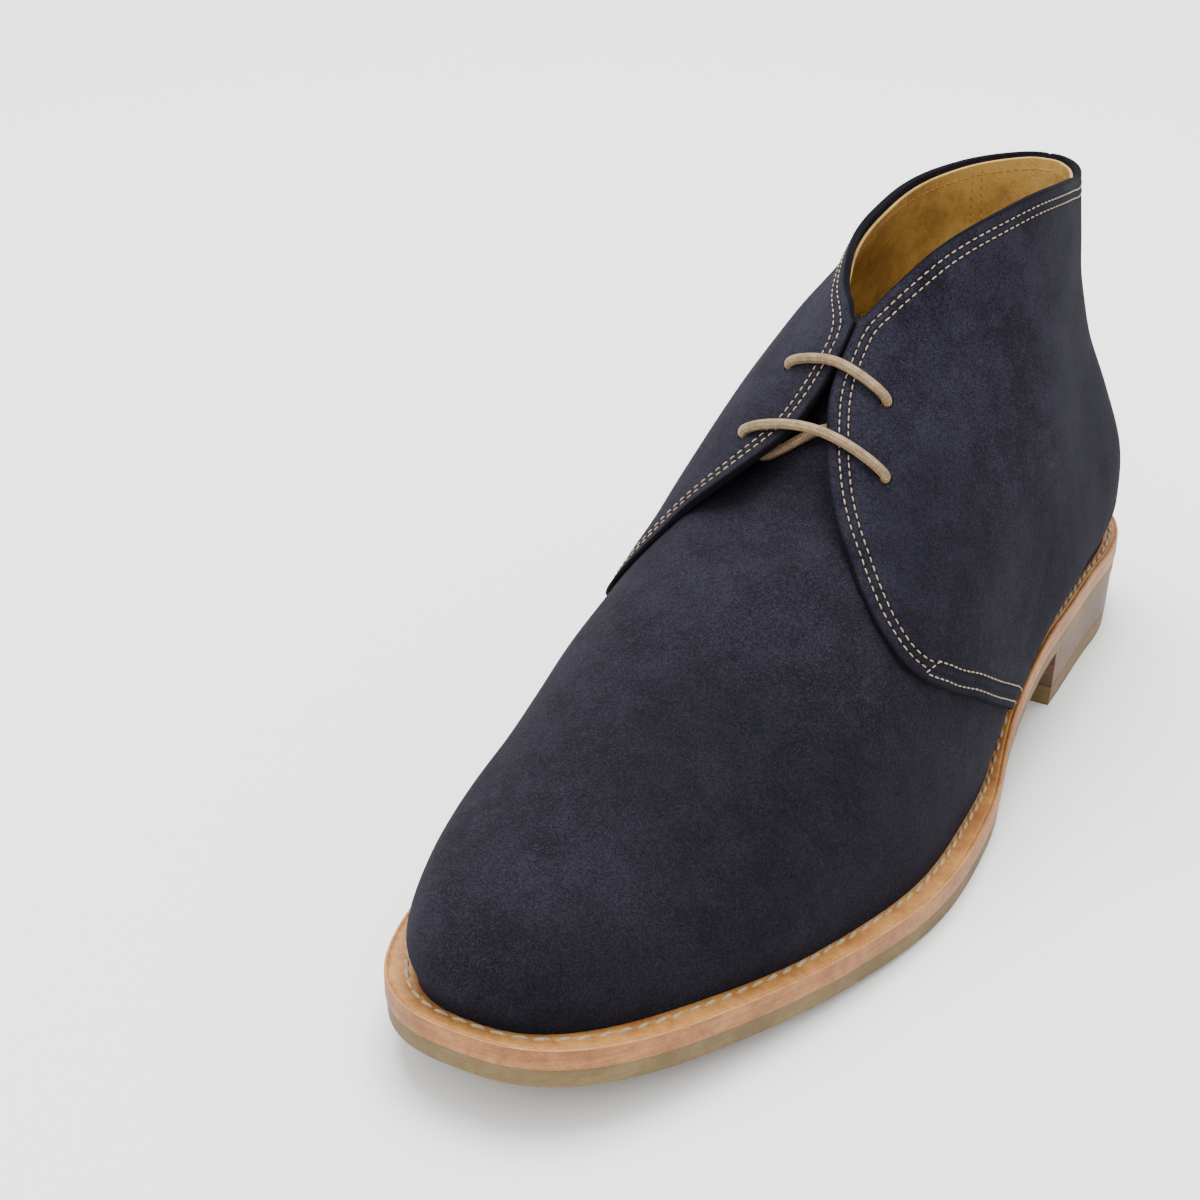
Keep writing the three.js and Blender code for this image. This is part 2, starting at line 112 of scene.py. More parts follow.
@dataclass(frozen=True)
class Last:
    """Sizes of the foot form that the boot is made on, in millimetres.

    A station is a distance forward from the back of the heel. A level is a step up the upper, and
    an angle goes from the back seam round the outer side to the ridge of the vamp and back.
    """

    length: float = 305.0
    outsole: float = 4.2
    midsole: float = 2.4
    welt: float = 2.0
    gap: float = 0.3
    seat_gap: float = 0.8
    heel_rise: float = 16.8
    heel_lift: float = 5.5
    breast: float = 80.0
    ball: float = 159.0
    arch_start: float = 141.0
    toe_spring: float = 11.5
    sole_outer: tuple = (34.8, 33.8, 37.3, 40.4, 50.4, 54.4, 48.9, 38.8, 32.0)
    sole_inner: tuple = (29.2, 35.2, 35.8, 39.0, 47.6, 54.8, 48.0, 40.1, 34.4)
    back_s: tuple = (3.4, 2.4, 3.1, 7.2, 12.2, 14.8, 15.2, 14.5, 13.5)
    back_z: tuple = (26.8, 38, 52, 68, 84, 99, 114, 129, 144)
    back_cap: tuple = (42, 42, 42, 40, 38, 37, 39, 46, 52)
    ridge_s: tuple = (299.4, 300.8, 296.5, 279, 245, 205, 168, 132, 100)
    ridge_z: tuple = (20.7, 28.1, 35.6, 40.6, 50.0, 66.0, 84.4, 106.1, 140.5)
    ridge_cap: tuple = (68, 76, 90.6, 110, 121, 128, 124, 116, 74)
    power: tuple = (2.65, 2.5, 2.3, 2.1, 2, 2, 2, 2, 2)
    heel_cap: float = 41.0
    heel_power: float = 2.1
    toe_cap: float = 62.5
    toe_power: float = 2.7
    welt_heel: float = 3.3
    welt_fore: float = 2.4
    welt_widens: tuple = (110, 170)
    seat_back: float = 3.4
    seat_front: float = 299.4
    level_rows: int = 7
    notch_angle: float = 187.0
    notch_width: float = 8.0
    notch_depth: float = 0.13
    swell_stations: tuple = (30, 95, 200, 265)
    swell_outer: tuple = (
        (0, 0, 0, 0),
        (0.8, 3.6, -0.4, 1.4),
        (0.5, 2.9, -3.3, 0.9),
        (-3.8, 0.7, -7.6, -1.9),
        (-9, -1.5, -10.8, -7.5),
        (-12, -5.1, -12.4, -13.5),
        (-13.6, -7.1, -14.4, -15.6),
        (-14.5, -8.2, -14.6, -17.9),
        (-14.8, -9.1, -14.6, -20.2),
    )
    swell_inner: tuple = (
        (0, 0, 0, 0),
        (2.6, 4.9, -1.2, 4.0),
        (2.5, 7.6, -1.5, 3.2),
        (0.4, 9.5, -3.6, 0),
        (-3.2, 9.7, -5.4, -7),
        (-6.2, 8.5, -5.6, -13.7),
        (-7.4, 3.6, -6.5, -16),
        (-7.6, -2.6, -9, -18.2),
        (-7.7, -7.7, -12, -20.2),
    )
    collar_levels: tuple = (
        (6.86, 6.92, 7.12, 7.46, 7.7, 7.82, 7.8, 7.67, 7.39)
        + (7.33, 7.42, 7.38, 7.3, 7.18, 7.03, 6.9, 6.86)
    )
    edge_levels: tuple = (
        (0, 1, 1.5, 2.4, 3.1, 3.5, 4.0, 4.3)
        + (4.85, 5.35, 5.75, 6.1, 6.45, 6.7, 6.85, 7.2, 8)
    )
    edge_outer: tuple = (
        (76, 80.5, 84, 92.3, 100.5, 107, 114.8, 119.5)
        + (130, 140.3, 150.5, 160.5, 171.5, 180.5, 185, 186.2, 186.2)
    )
    edge_inner: tuple = (
        (76, 80.5, 84, 92.3, 100.5, 107, 114.8, 119.5)
        + (129.5, 139, 149, 159.5, 170, 171.7, 172.8, 172.4, 172.4)
    )
    corner: float = 3.5

    def underside(self, s: Array) -> Array:
        """Height of the underside of the sole.

        Args:
            s: Stations.

        Returns:
            Height at each station.
        """
        spring = self.toe_spring * (np.maximum(s - self.ball, 0) / (self.length - self.ball)) ** 2
        arch = self.heel_rise * ease((self.arch_start - s) / (self.arch_start - self.breast))
        return spring + arch

    def welt_top(self, s: Array) -> Array:
        """Height of the top of the welt."""
        return self.underside(s) + self.outsole + self.midsole + self.welt + 2 * self.gap

    def seat(self, s: Array) -> Array:
        """Height where the upper sits over the welt."""
        return self.welt_top(s) + self.seat_gap

    def sides(self, s: Array) -> tuple[Array, Array]:
        """Half widths of the sole."""
        t = s / self.length * (len(self.sole_outer) - 1)
        return smooth(self.sole_outer, t), smooth(self.sole_inner, t)

    def welt_width(self, s: Array) -> Array:
        """How much of the welt shows."""
        start, end = self.welt_widens
        return self.welt_heel + self.welt_fore * ease((s - start) / (end - start))

    def outline(self, inset: Measure, end: float | None = None, count: int = 120) -> Array:
        """Outline of the sole drawn in by an inset.

        Args:
            inset: How far in, or a function of the station.
            end: Where it stops short of the toe, if it does.
            count: Steps along each side.

        Returns:
            Points as (x, station): outer side from the heel, and inner side from the heel.
        """
        turn = math.pi * np.arange(count + 1) / count
        s = self.length * (1 - np.cos(turn)) / 2 if end is None else end * (1 - np.cos(turn / 2))
        outer, inner = self.sides(s)
        ends = round_end(s, self.heel_cap, self.heel_power)
        ends = ends * round_end(self.length - s, self.toe_cap, self.toe_power)
        middle = (outer - inner) / 2
        half = (outer + inner) / 2 * ends
        a = np.stack([middle + half, s], 1)
        b = np.stack([middle - half, s], 1)
        tail = b[1:-1] if end is None else b[1:]
        loop = np.concatenate([a, tail[::-1]])
        along = unit(np.roll(loop, -1, 0) - np.roll(loop, 1, 0))
        size = inset(loop[:, 1]) if callable(inset) else np.full(len(loop), float(inset))
        moved = np.stack([loop[:, 0] - along[:, 1] * size, loop[:, 1] + along[:, 0] * size], 1)
        if end is not None:
            flat = loop[:, 1] > end - 1e-6
            x = loop[flat, 0]
            moved[flat] = np.stack([x - np.sign(x) * size[flat], loop[flat, 1]], 1)
            back = np.concatenate([moved[:1], moved[count + 1 :][::-1]])
            return np.stack([moved[: count + 1], back])
        back = np.concatenate([moved[:1], moved[count + 1 :][::-1], moved[count : count + 1]])
        return np.stack([moved[: count + 1], back])

    def swell(self, rows: tuple, level: Array, s: Array) -> Array:
        """How far the upper swells beyond its seat.

        Args:
            rows: Table with one row for each level and one column for each swell station.
            level: Levels.
            s: Stations.

        Returns:
            The swell at each point.
        """
        columns = [smooth([row[k] for row in rows], level) for k in range(4)]
        x = np.clip(s, self.swell_stations[0], self.swell_stations[-1])
        out = columns[0] + 0 * s
        for i in range(3):
            low, high = self.swell_stations[i], self.swell_stations[i + 1]
            part = columns[i] + (columns[i + 1] - columns[i]) * ease((x - low) / (high - low))
            out = np.where(x >= low, part, out)
        return out

    def dip(self, s: Array) -> Array:
        """How far the seat dips below a straight line from heel to toe.

        Args:
            s: Stations.

        Returns:
            The dip at each station.
        """
        a, b = np.float64(self.seat_back), np.float64(self.seat_front)
        along = (s - a) / (b - a)
        return self.seat(s) - self.seat(a) - (self.seat(b) - self.seat(a)) * along

    def surface(self, level: Array, angle: Array) -> Array:
        """Points of the upper's surface.

        Args:
            level: Levels.
            angle: Angles in degrees.

        Returns:
            Points with x, y, z in the last axis.
        """
        level, angle = np.broadcast_arrays(np.asarray(level, float), np.asarray(angle, float))
        turn = np.radians(angle)
        along = (1 - np.cos(turn)) / 2
        back, ridge = smooth(self.back_s, level), smooth(self.ridge_s, level)
        s = back + (ridge - back) * along
        ends = round_end(s - back, smooth(self.back_cap, level), self.heel_power)
        power = smooth(self.power, level)
        ends = ends * round_end(ridge - s, smooth(self.ridge_cap, level), power)
        outer, inner = self.sides(s)
        outer = outer - self.welt_width(s) + self.swell(self.swell_outer, level, s)
        inner = inner - self.welt_width(s) + self.swell(self.swell_inner, level, s)
        x = (outer - inner) / 2 + np.sign(np.sin(turn)) * (outer + inner) / 2 * ends
        fade = np.maximum(1 - level / self.level_rows, 0)
        slope = self.dip(back) + (self.dip(ridge) - self.dip(back)) * along
        low, high = smooth(self.back_z, level), smooth(self.ridge_z, level)
        z = low + (high - low) * along + fade * (self.dip(s) - slope)
        return np.stack([x, self.length / 2 - s, z], -1)

    def facing(self, level: Array, angle: Array) -> Array:
        """Outward directions of the upper's surface.

        Args:
            level: Levels.
            angle: Angles in degrees.

        Returns:
            Unit vectors in the last axis.
        """
        level, angle = np.broadcast_arrays(np.asarray(level, float), np.asarray(angle, float))
        up = self.surface(level + 0.04, angle) - self.surface(np.maximum(level - 0.04, 0), angle)
        around = self.surface(level, angle + 1) - self.surface(level, angle - 1)
        return unit(np.cross(up, around))

    def skin(self, level: Array, angle: Array, distance: Array) -> Array:
        """Points at a distance outside the surface."""
        offset = np.asarray(distance, float)[..., None]
        return self.surface(level, angle) + self.facing(level, angle) * offset

    def collar(self, angle: Array) -> Array:
        """Level of the collar's edge.

        Args:
            angle: Angles in degrees.

        Returns:
            The level at each angle.
        """
        turned = np.mod(angle, 360.0)
        away = (turned - self.notch_angle) / self.notch_width
        notch = self.notch_depth * np.exp(-(away**2))
        return smooth(self.collar_levels, turned / 22.5) - notch

    def quarter_edge(self, side: Side, level: Array) -> Array:
        """Angle of a quarter's front edge from the back seam on its own side.

        Args:
            side: Which quarter.
            level: Levels.

        Returns:
            The angle at each level.
        """
        rows = self.edge_outer if side is Side.OUTER else self.edge_inner
        total = np.zeros(np.shape(level))
        near = np.clip((np.abs(np.asarray(level) - self.corner) - 0.05) / 0.2, 0, 1)
        steps = (-0.12, -0.06, 0.0, 0.06, 0.12)
        for step in steps:
            total = total + np.interp(np.asarray(level) + step * near, self.edge_levels, rows)
        return total / len(steps)

    def place(self, line: Array, z: Array) -> Array:
        """Points of the frame from rows of x and station, and their heights."""
        return np.stack([line[:, 0], self.length / 2 - line[:, 1], z], 1)


LAST = Last()

EYELET_RADIUS = 1.75
EYELETS = {
    "outer_upper": (6.67, 153.0),
    "outer_lower": (5.97, 140.0),
    "inner_upper": (6.67, 217.0),
    "inner_lower": (6.13, 214.5),
}


# --- Mesh helpers ---


def clear_selection() -> None:
    """Leaves nothing selected."""
    if bpy.context.object and bpy.context.object.mode != "OBJECT":
        bpy.ops.object.mode_set(mode="OBJECT")
    bpy.ops.object.select_all(action="DESELECT")


def pick(obj: Piece) -> None:
    """Selects one object and makes it active.

    Args:
        obj: The object.
    """
    clear_selection()
    obj.select_set(True)
    bpy.context.view_layer.objects.active = obj


def mesh_object(
    name: str, points: Array, faces: list, uv: Array | None = None
) -> Piece:
    """Object from points in millimetres.

    Args:
        name: Name of the object.
        points: One row for each vertex.
        faces: Vertex numbers of each face.
        uv: Pair of values for each vertex, kept as the layer "Shape".

    Returns:
        The new object at the origin.
    """
    mesh = bpy.data.meshes.new(name)
    mesh.from_pydata((points * MM + SHIFT).tolist(), [], faces)
    if uv is not None:
        layer = mesh.uv_layers.new(name="Shape")
        loops = np.zeros(len(mesh.loops), int)
        mesh.loops.foreach_get("vertex_index", loops)
        layer.data.foreach_set("uv", uv[loops].astype(np.float32).ravel())
    mesh.update()
    obj = bpy.data.objects.new(name, mesh)
    bpy.context.scene.collection.objects.link(obj)
    return obj


def tidy_normals(obj: Piece, merge: float = 0.0) -> None:
    """Turns every face outward.

    Args:
        obj: The object.
        merge: Distance in meters within which points become one first, if any.
    """
    pick(obj)
    bpy.ops.object.mode_set(mode="EDIT")
    bpy.ops.mesh.select_all(action="SELECT")
    if merge:
        bpy.ops.mesh.remove_doubles(threshold=merge)
    bpy.ops.mesh.normals_make_consistent(inside=False)
    bpy.ops.object.mode_set(mode="OBJECT")


def shade(obj: Piece, angle: float = 50.0) -> None:
    """Shades an object smooth but for edges sharper than an angle in degrees."""
    pick(obj)
    bpy.ops.object.shade_smooth_by_angle(angle=math.radians(angle))


def soften(obj: Piece, offset: float, segments: int = 2, sharp: float = 50.0) -> None:
    """Rounds the sharp edges of an object and shades it smooth.

    Args:
        obj: The object.
        offset: Size of the rounding in millimetres.
        segments: Steps across the rounding.
        sharp: Angle in degrees above which an edge is sharp.
    """
    pick(obj)
    bpy.ops.object.mode_set(mode="EDIT")
    bpy.ops.mesh.select_mode(type="EDGE")
    bpy.ops.mesh.select_all(action="DESELECT")
    bpy.ops.mesh.edges_select_sharp(sharpness=math.radians(sharp))
    sizes = {"offset": offset * MM, "segments": segments, "profile": 0.5}
    bpy.ops.mesh.bevel(affect="EDGES", clamp_overlap=True, **sizes)
    bpy.ops.object.mode_set(mode="OBJECT")
    bpy.ops.object.shade_smooth()


def grid_faces(rows: int, columns: int, start: int = 0, flip: bool = False) -> list[tuple[int, ...]]:
    """Faces of a grid of vertices.

    Args:
        rows: Vertex rows.
        columns: Vertex columns.
        start: Number of the first vertex.
        flip: Whether to turn the faces over.

    Returns:
        Four vertex numbers for each face.
    """
    faces = []
    for r in range(rows - 1):
        for c in range(columns - 1):
            a = start + r * columns + c
            face = (a, a + 1, a + columns + 1, a + columns)
            faces.append(face[::-1] if flip else face)
    return faces


def shell(name: str, outside: Array, inside: Array, uv: Array) -> Piece:
    """Closed shell between two grids of points.

    Args:
        name: Name of the object.
        outside: Grid of outer points.
        inside: Matching grid of inner points.
        uv: Pair of values for each grid point.

    Returns:
        The new object with its faces turned outward.
    """
    rows, columns = outside.shape[:2]
    n = rows * columns
    faces = grid_faces(rows, columns) + grid_faces(rows, columns, n, True)
    rim = list(range(columns))
    rim += [r * columns + columns - 1 for r in range(1, rows)]
    rim += [(rows - 1) * columns + c for c in range(columns - 2, -1, -1)]
    rim += [r * columns for r in range(rows - 2, 0, -1)]
    for a, b in zip(rim, rim[1:] + rim[:1]):
        faces.append((b, a, a + n, b + n))
    points = np.concatenate([outside.reshape(-1, 3), inside.reshape(-1, 3)])
    both = np.concatenate([uv.reshape(-1, 2), uv.reshape(-1, 2)])
    obj = mesh_object(name, points, faces, both)
    tidy_normals(obj)
    return obj


def ring(name: str, section: list[Array], uv: list[Array]) -> Piece:
    """Closed ring from loops that follow each other round its section.

    Args:
        name: Name of the object.
        section: Loops of points with the same count.
        uv: Pair of values for each point of each loop.

    Returns:
        The new object with its faces turned outward.
    """
    n = len(section[0])
    faces = []
    for r in range(len(section)):
        low, high = r * n, ((r + 1) % len(section)) * n
        for i in range(n):
            j = (i + 1) % n
            faces.append((low + i, low + j, high + j, high + i))
    obj = mesh_object(name, np.concatenate(section), faces, np.concatenate(uv))
    tidy_normals(obj)
    return obj


def nearest(points: Array, line: Array) -> Array:
    """Distance of points from a line.

    Args:
        points: Positions in the last axis.
        line: Positions along the line.

    Returns:
        The distance of each point.
    """
    best = np.full(points.shape[:-1], np.inf)
    for a, b in zip(line, line[1:]):
        step = b - a
        share = np.clip(((points - a) @ step) / (step @ step + 1e-12), 0, 1)
        best = np.minimum(best, np.linalg.norm(points - a - share[..., None] * step, axis=-1))
    return best


def relax(line: Array, reach: int = 9) -> Array:
    """Line with its kinks rounded.

    Args:
        line: Rows of numbers.
        reach: How many neighbours share in each point.

    Returns:
        The smoothed rows, with the same ends.
    """
    padded = np.concatenate([np.repeat(line[:1], reach, 0), line, np.repeat(line[-1:], reach, 0)])
    weight = np.hanning(2 * reach + 3)[1:-1]
    weight = weight / weight.sum()
    return np.stack([np.convolve(padded[:, k], weight, mode="valid") for k in range(line.shape[1])], 1)


def resample(line: Array, pitch: float, start: float = 0.0) -> tuple[Array, Array]:
    """Evenly spaced places along a line.

    Args:
        line: Points with any number of columns; the first three are a position.
        pitch: Distance between places.
        start: Distance of the first place.

    Returns:
        Interpolated rows, and the direction of the line at each.
    """
    steps = np.linalg.norm(np.diff(line[:, :3], axis=0), axis=1)
    run = np.concatenate([[0], np.cumsum(steps)])
    places = np.arange(start, run[-1], pitch)
    rows = np.stack([np.interp(places, run, line[:, k]) for k in range(line.shape[1])], 1)
    ahead = np.stack([np.interp(places + 0.4, run, line[:, k]) for k in range(3)], 1)
    behind = np.stack([np.interp(places - 0.4, run, line[:, k]) for k in range(3)], 1)
    return rows, unit(ahead - behind)


# --- Finishes ---


class Nodes:
    """Short way to add and join the nodes of one tree."""

    def __init__(self, tree: NodeTree) -> None:
        """Keeps the tree."""
        self.tree = tree

    def add(self, kind: str, inputs: dict | None = None, **settings: object) -> Node:
        """Adds a node.

        Args:
            kind: Its type.
            inputs: Values or sockets for its inputs, by name or number.
            **settings: Its own settings.

        Returns:
            The new node.
        """
        node = self.tree.nodes.new(kind)
        for key, value in settings.items():
            setattr(node, key, value)
        self.give(node, inputs or {})
        return node

    def give(self, node: Node, inputs: dict) -> None:
        """Sets inputs of a node.

        Args:
            node: The node.
            inputs: Values or sockets, by name or number.
        """
        for key, value in inputs.items():
            if isinstance(value, Socket):
                self.tree.links.new(value, node.inputs[key])
            else:
                node.inputs[key].default_value = value

    def noise(self, at: Socket, scale: float, detail: float = 3.0, rough: float = 0.5) -> Socket:
        """Noise at places."""
        inputs = {"Vector": at, "Scale": scale, "Detail": detail, "Roughness": rough}
        return self.add("ShaderNodeTexNoise", inputs).outputs[0]

    def math(self, operation: str, a: object, b: object = 0.0, c: object = 0.0) -> Socket:
        """One sum."""
        return self.add("ShaderNodeMath", {0: a, 1: b, 2: c}, operation=operation).outputs[0]

    def span(self, value: Socket, low: float, high: float, to_low: float, to_high: float) -> Socket:
        """Moves a value from one range to another, held at its ends."""
        inputs = {0: value, 1: low, 2: high, 3: to_low, 4: to_high}
        return self.add("ShaderNodeMapRange", inputs, interpolation_type="SMOOTHSTEP").outputs[0]

    def blend(self, share: object, a: object, b: object) -> Socket:
        """Mix of two colours, with a share of the second."""
        return self.add("ShaderNodeMix", {0: share, 6: a, 7: b}, data_type="RGBA").outputs[2]


def material(name: str) -> tuple[Material, Nodes, Node]:
    """New material with a plain shader.

    Args:
        name: Name of the material.

    Returns:
        The material, its nodes and its shader.
    """
    made = bpy.data.materials.new(name)
    made.use_nodes = True
    shader = made.node_tree.nodes["Principled BSDF"]
    return made, Nodes(made.node_tree), shader


def wear_group() -> NodeTree:
    """Shared effect: a soft mottle in three sizes.

    Returns:
        Group with a colour and a height from two colours and a scale.
    """
    group = bpy.data.node_groups.get("Mottle")
    if group:
        return group
    group = bpy.data.node_groups.new("Mottle", "ShaderNodeTree")
    sockets = (
        ("Dark", "INPUT", "NodeSocketColor"),
        ("Light", "INPUT", "NodeSocketColor"),
        ("Scale", "INPUT", "NodeSocketFloat"),
        ("Color", "OUTPUT", "NodeSocketColor"),
        ("Height", "OUTPUT", "NodeSocketFloat"),
    )
    for name, way, kind in sockets:
        group.interface.new_socket(name, in_out=way, socket_type=kind)
    nodes = Nodes(group)
    given = nodes.add("NodeGroupInput")
    result = nodes.add("NodeGroupOutput")
    at = nodes.add("ShaderNodeTexCoord").outputs["Object"]
    stretched = nodes.add("ShaderNodeVectorMath", {0: at}, operation="SCALE")
    group.links.new(given.outputs["Scale"], stretched.inputs["Scale"])
    place = stretched.outputs[0]
    broad = nodes.noise(place, 1.0, 2.0)
    middle = nodes.noise(place, 5.0, 3.0)
    fine = nodes.noise(place, 26.0, 2.0, 0.6)
    mixed = nodes.math("MULTIPLY_ADD", broad, 0.45, nodes.math("MULTIPLY", middle, 0.3))
    mixed = nodes.math("MULTIPLY_ADD", fine, 0.25, mixed)
    share = nodes.span(mixed, 0.36, 0.64, 0.0, 1.0)
    colour = nodes.blend(share, given.outputs["Dark"], given.outputs["Light"])
    height = nodes.math("MULTIPLY_ADD", fine, 0.7, nodes.math("MULTIPLY", middle, 0.3))
    nodes.give(result, {"Color": colour, "Height": height})
    return group


def mottle(nodes: Nodes, dark: Colour, light: Colour, scale: float) -> Node:
    """Places the shared mottle in a material.

    Args:
        nodes: The material's nodes.
        dark: Darker colour.
        light: Lighter colour.
        scale: How fine it is.

    Returns:
        The group node.
    """
    inputs = {"Dark": dark, "Light": light, "Scale": scale}
    node = nodes.add("ShaderNodeGroup", node_tree=wear_group())
    nodes.give(node, inputs)
    return node


def set_bump(nodes: Nodes, shader: Node, height: Socket, depth: float, strength: float) -> None:
    """Gives a shader a bumpy surface."""
    node = nodes.add("ShaderNodeBump", {"Height": height, "Distance": depth * MM, "Strength": strength})
    nodes.tree.links.new(node.outputs[0], shader.inputs["Normal"])


@dataclass(frozen=True)
class SuedeFinish:
    """Brushed suede with a fine nap, darker along its cut edges and stitched lines."""

    name: str = "Navy suede"
    dark: Colour = (0.0076, 0.0071, 0.0104, 1.0)
    light: Colour = (0.0172, 0.0160, 0.0236, 1.0)
    edge: Colour = (0.0030, 0.0028, 0.0040, 1.0)
    nap: Colour = (0.034, 0.031, 0.050, 1.0)
    edged: bool = True

    def build(self) -> Material:
        """Makes the material.

        Returns:
            The material.
        """
        made, nodes, shader = material(self.name)
        base = mottle(nodes, self.dark, self.light, 30.0)
        at = nodes.add("ShaderNodeTexCoord").outputs["Object"]
        fibre = nodes.noise(at, 2300.0, 3.0, 0.75)
        speck = nodes.noise(at, 620.0, 2.0, 0.7)
        colour = nodes.blend(nodes.span(fibre, 0.34, 0.56, 0.75, 0.0), base.outputs["Color"], self.edge)
        colour = nodes.blend(nodes.span(fibre, 0.52, 0.70, 0.0, 0.6), colour, self.nap)
        colour = nodes.blend(nodes.span(speck, 0.52, 0.76, 0.0, 0.2), colour, self.nap)
        brushed = nodes.span(nodes.noise(at, 14.0, 2.0), 0.4, 0.62, 0.0, 0.42)
        colour = nodes.blend(brushed, colour, self.edge)
        height = nodes.math("MULTIPLY_ADD", fibre, 0.6, nodes.math("MULTIPLY", speck, 0.4))
        if self.edged:
            shape = nodes.add("ShaderNodeUVMap", uv_map="Shape").outputs[0]
            parts = nodes.add("ShaderNodeSeparateXYZ", {0: shape})
            near = nodes.math("MINIMUM", parts.outputs[0], parts.outputs[1])
            rim = nodes.span(near, 0.0, 0.0011, 0.9, 0.0)
            colour = nodes.blend(rim, colour, self.edge)
            rows = []
            for at_row in (0.003, 0.0051):
                away = nodes.math("ABSOLUTE", nodes.math("SUBTRACT", near, at_row))
                rows.append(nodes.span(away, 0.0, 0.0009, 1.0, 0.0))
            sunk = nodes.math("MAXIMUM", *rows)
            colour = nodes.blend(nodes.math("MULTIPLY", sunk, 0.45), colour, self.edge)
            height = nodes.math("MULTIPLY_ADD", sunk, -0.9, height)
        set_bump(nodes, shader, height, 0.35, 0.8)
        values = {"Base Color": colour, "Roughness": 0.95, "Specular IOR Level": 0.05}
        values |= {"Sheen Weight": 0.02, "Sheen Roughness": 0.45}
        values |= {"Sheen Tint": (0.55, 0.56, 0.72, 1.0)}
        nodes.give(shader, values)
        return made


@dataclass(frozen=True)
class LeatherFinish:
    """Smooth leather with a fine grain and a soft mottle."""

    name: str
    dark: Colour
    light: Colour
    scale: float = 60.0
    grain: float = 900.0
    depth: float = 0.12
    roughness: float = 0.5

    def build(self) -> Material:
        """Makes the material.

        Returns:
            The material.
        """
        made, nodes, shader = material(self.name)
        base = mottle(nodes, self.dark, self.light, self.scale)
        at = nodes.add("ShaderNodeTexCoord").outputs["Object"]
        inputs = {"Vector": at, "Scale": self.grain}
        cells = nodes.add("ShaderNodeTexVoronoi", inputs, feature="DISTANCE_TO_EDGE").outputs[0]
        pores = nodes.span(cells, 0.0, 0.12, 0.0, 1.0)
        shade = nodes.span(pores, 0.0, 1.0, 0.22, 0.0)
        colour = nodes.blend(shade, base.outputs["Color"], self.dark)
        height = nodes.math("MULTIPLY_ADD", pores, 0.4, base.outputs["Height"])
        rough = nodes.span(base.outputs["Height"], 0.2, 0.8, self.roughness + 0.1, self.roughness - 0.08)
        nodes.give(shader, {"Base Color": colour, "Roughness": rough, "Specular IOR Level": 0.4})
        set_bump(nodes, shader, height, self.depth, 0.6)
        return made


@dataclass(frozen=True)
class EdgeFinish:
    """Trimmed leather edge: stacked fibres in fine level lines, burnished."""

    name: str
    dark: Colour
    light: Colour
    roughness: float = 0.55

    def build(self) -> Material:
        """Makes the material.

        Returns:
            The material.
        """
        made, nodes, shader = material(self.name)
        base = mottle(nodes, self.dark, self.light, 70.0)
        at = nodes.add("ShaderNodeTexCoord").outputs["Object"]
        inputs = {0: at, 1: (60.0, 60.0, 1400.0)}
        flat = nodes.add("ShaderNodeVectorMath", inputs, operation="MULTIPLY").outputs[0]
        lines = nodes.noise(flat, 1.0, 3.0, 0.6)
        share = nodes.span(lines, 0.35, 0.7, 0.0, 0.55)
        colour = nodes.blend(share, base.outputs["Color"], self.dark)
        height = nodes.math("MULTIPLY_ADD", lines, 0.8, base.outputs["Height"])
        set_bump(nodes, shader, height, 0.12, 0.7)
        values = {"Base Color": colour, "Roughness": self.roughness, "Specular IOR Level": 0.35}
        nodes.give(shader, values)
        return made


@dataclass(frozen=True)
class CordFinish:
    """Round waxed lace, woven in fine slanting strands."""

    name: str = "Waxed lace"
    dark: Colour = (0.13, 0.078, 0.036, 1.0)
    light: Colour = (0.33, 0.235, 0.125, 1.0)

    def build(self) -> Material:
        """Makes the material.

        Returns:
            The material.
        """
        made, nodes, shader = material(self.name)
        shape = nodes.add("ShaderNodeUVMap", uv_map="Shape").outputs[0]
        parts = nodes.add("ShaderNodeSeparateXYZ", {0: shape})
        around = nodes.math("MULTIPLY", parts.outputs[0], 8.0 * math.pi)
        along = nodes.math("MULTIPLY", parts.outputs[1], 2.0 * math.pi / 0.0013)
        left = nodes.math("SINE", nodes.math("ADD", around, along))
        right = nodes.math("SINE", nodes.math("SUBTRACT", around, along))
        weave = nodes.math("MULTIPLY_ADD", nodes.math("MULTIPLY", left, right), 0.5, 0.5)
        base = mottle(nodes, self.dark, self.light, 160.0)
        colour = nodes.blend(nodes.span(weave, 0.1, 0.8, 0.7, 0.0), base.outputs["Color"], self.dark)
        set_bump(nodes, shader, weave, 0.18, 0.9)
        nodes.give(shader, {"Base Color": colour, "Roughness": 0.55, "Specular IOR Level": 0.4})
        return made


@dataclass(frozen=True)
class ThreadFinish:
    """Twisted sewing thread."""

    name: str
    colour: Colour
    shade: Colour

    def build(self) -> Material:
        """Makes the material.

        Returns:
            The material.
        """
        made, nodes, shader = material(self.name)
        base = mottle(nodes, self.shade, self.colour, 500.0)
        set_bump(nodes, shader, base.outputs["Height"], 0.08, 0.6)
        nodes.give(shader, {"Base Color": base.outputs["Color"], "Roughness": 0.7})
        return made


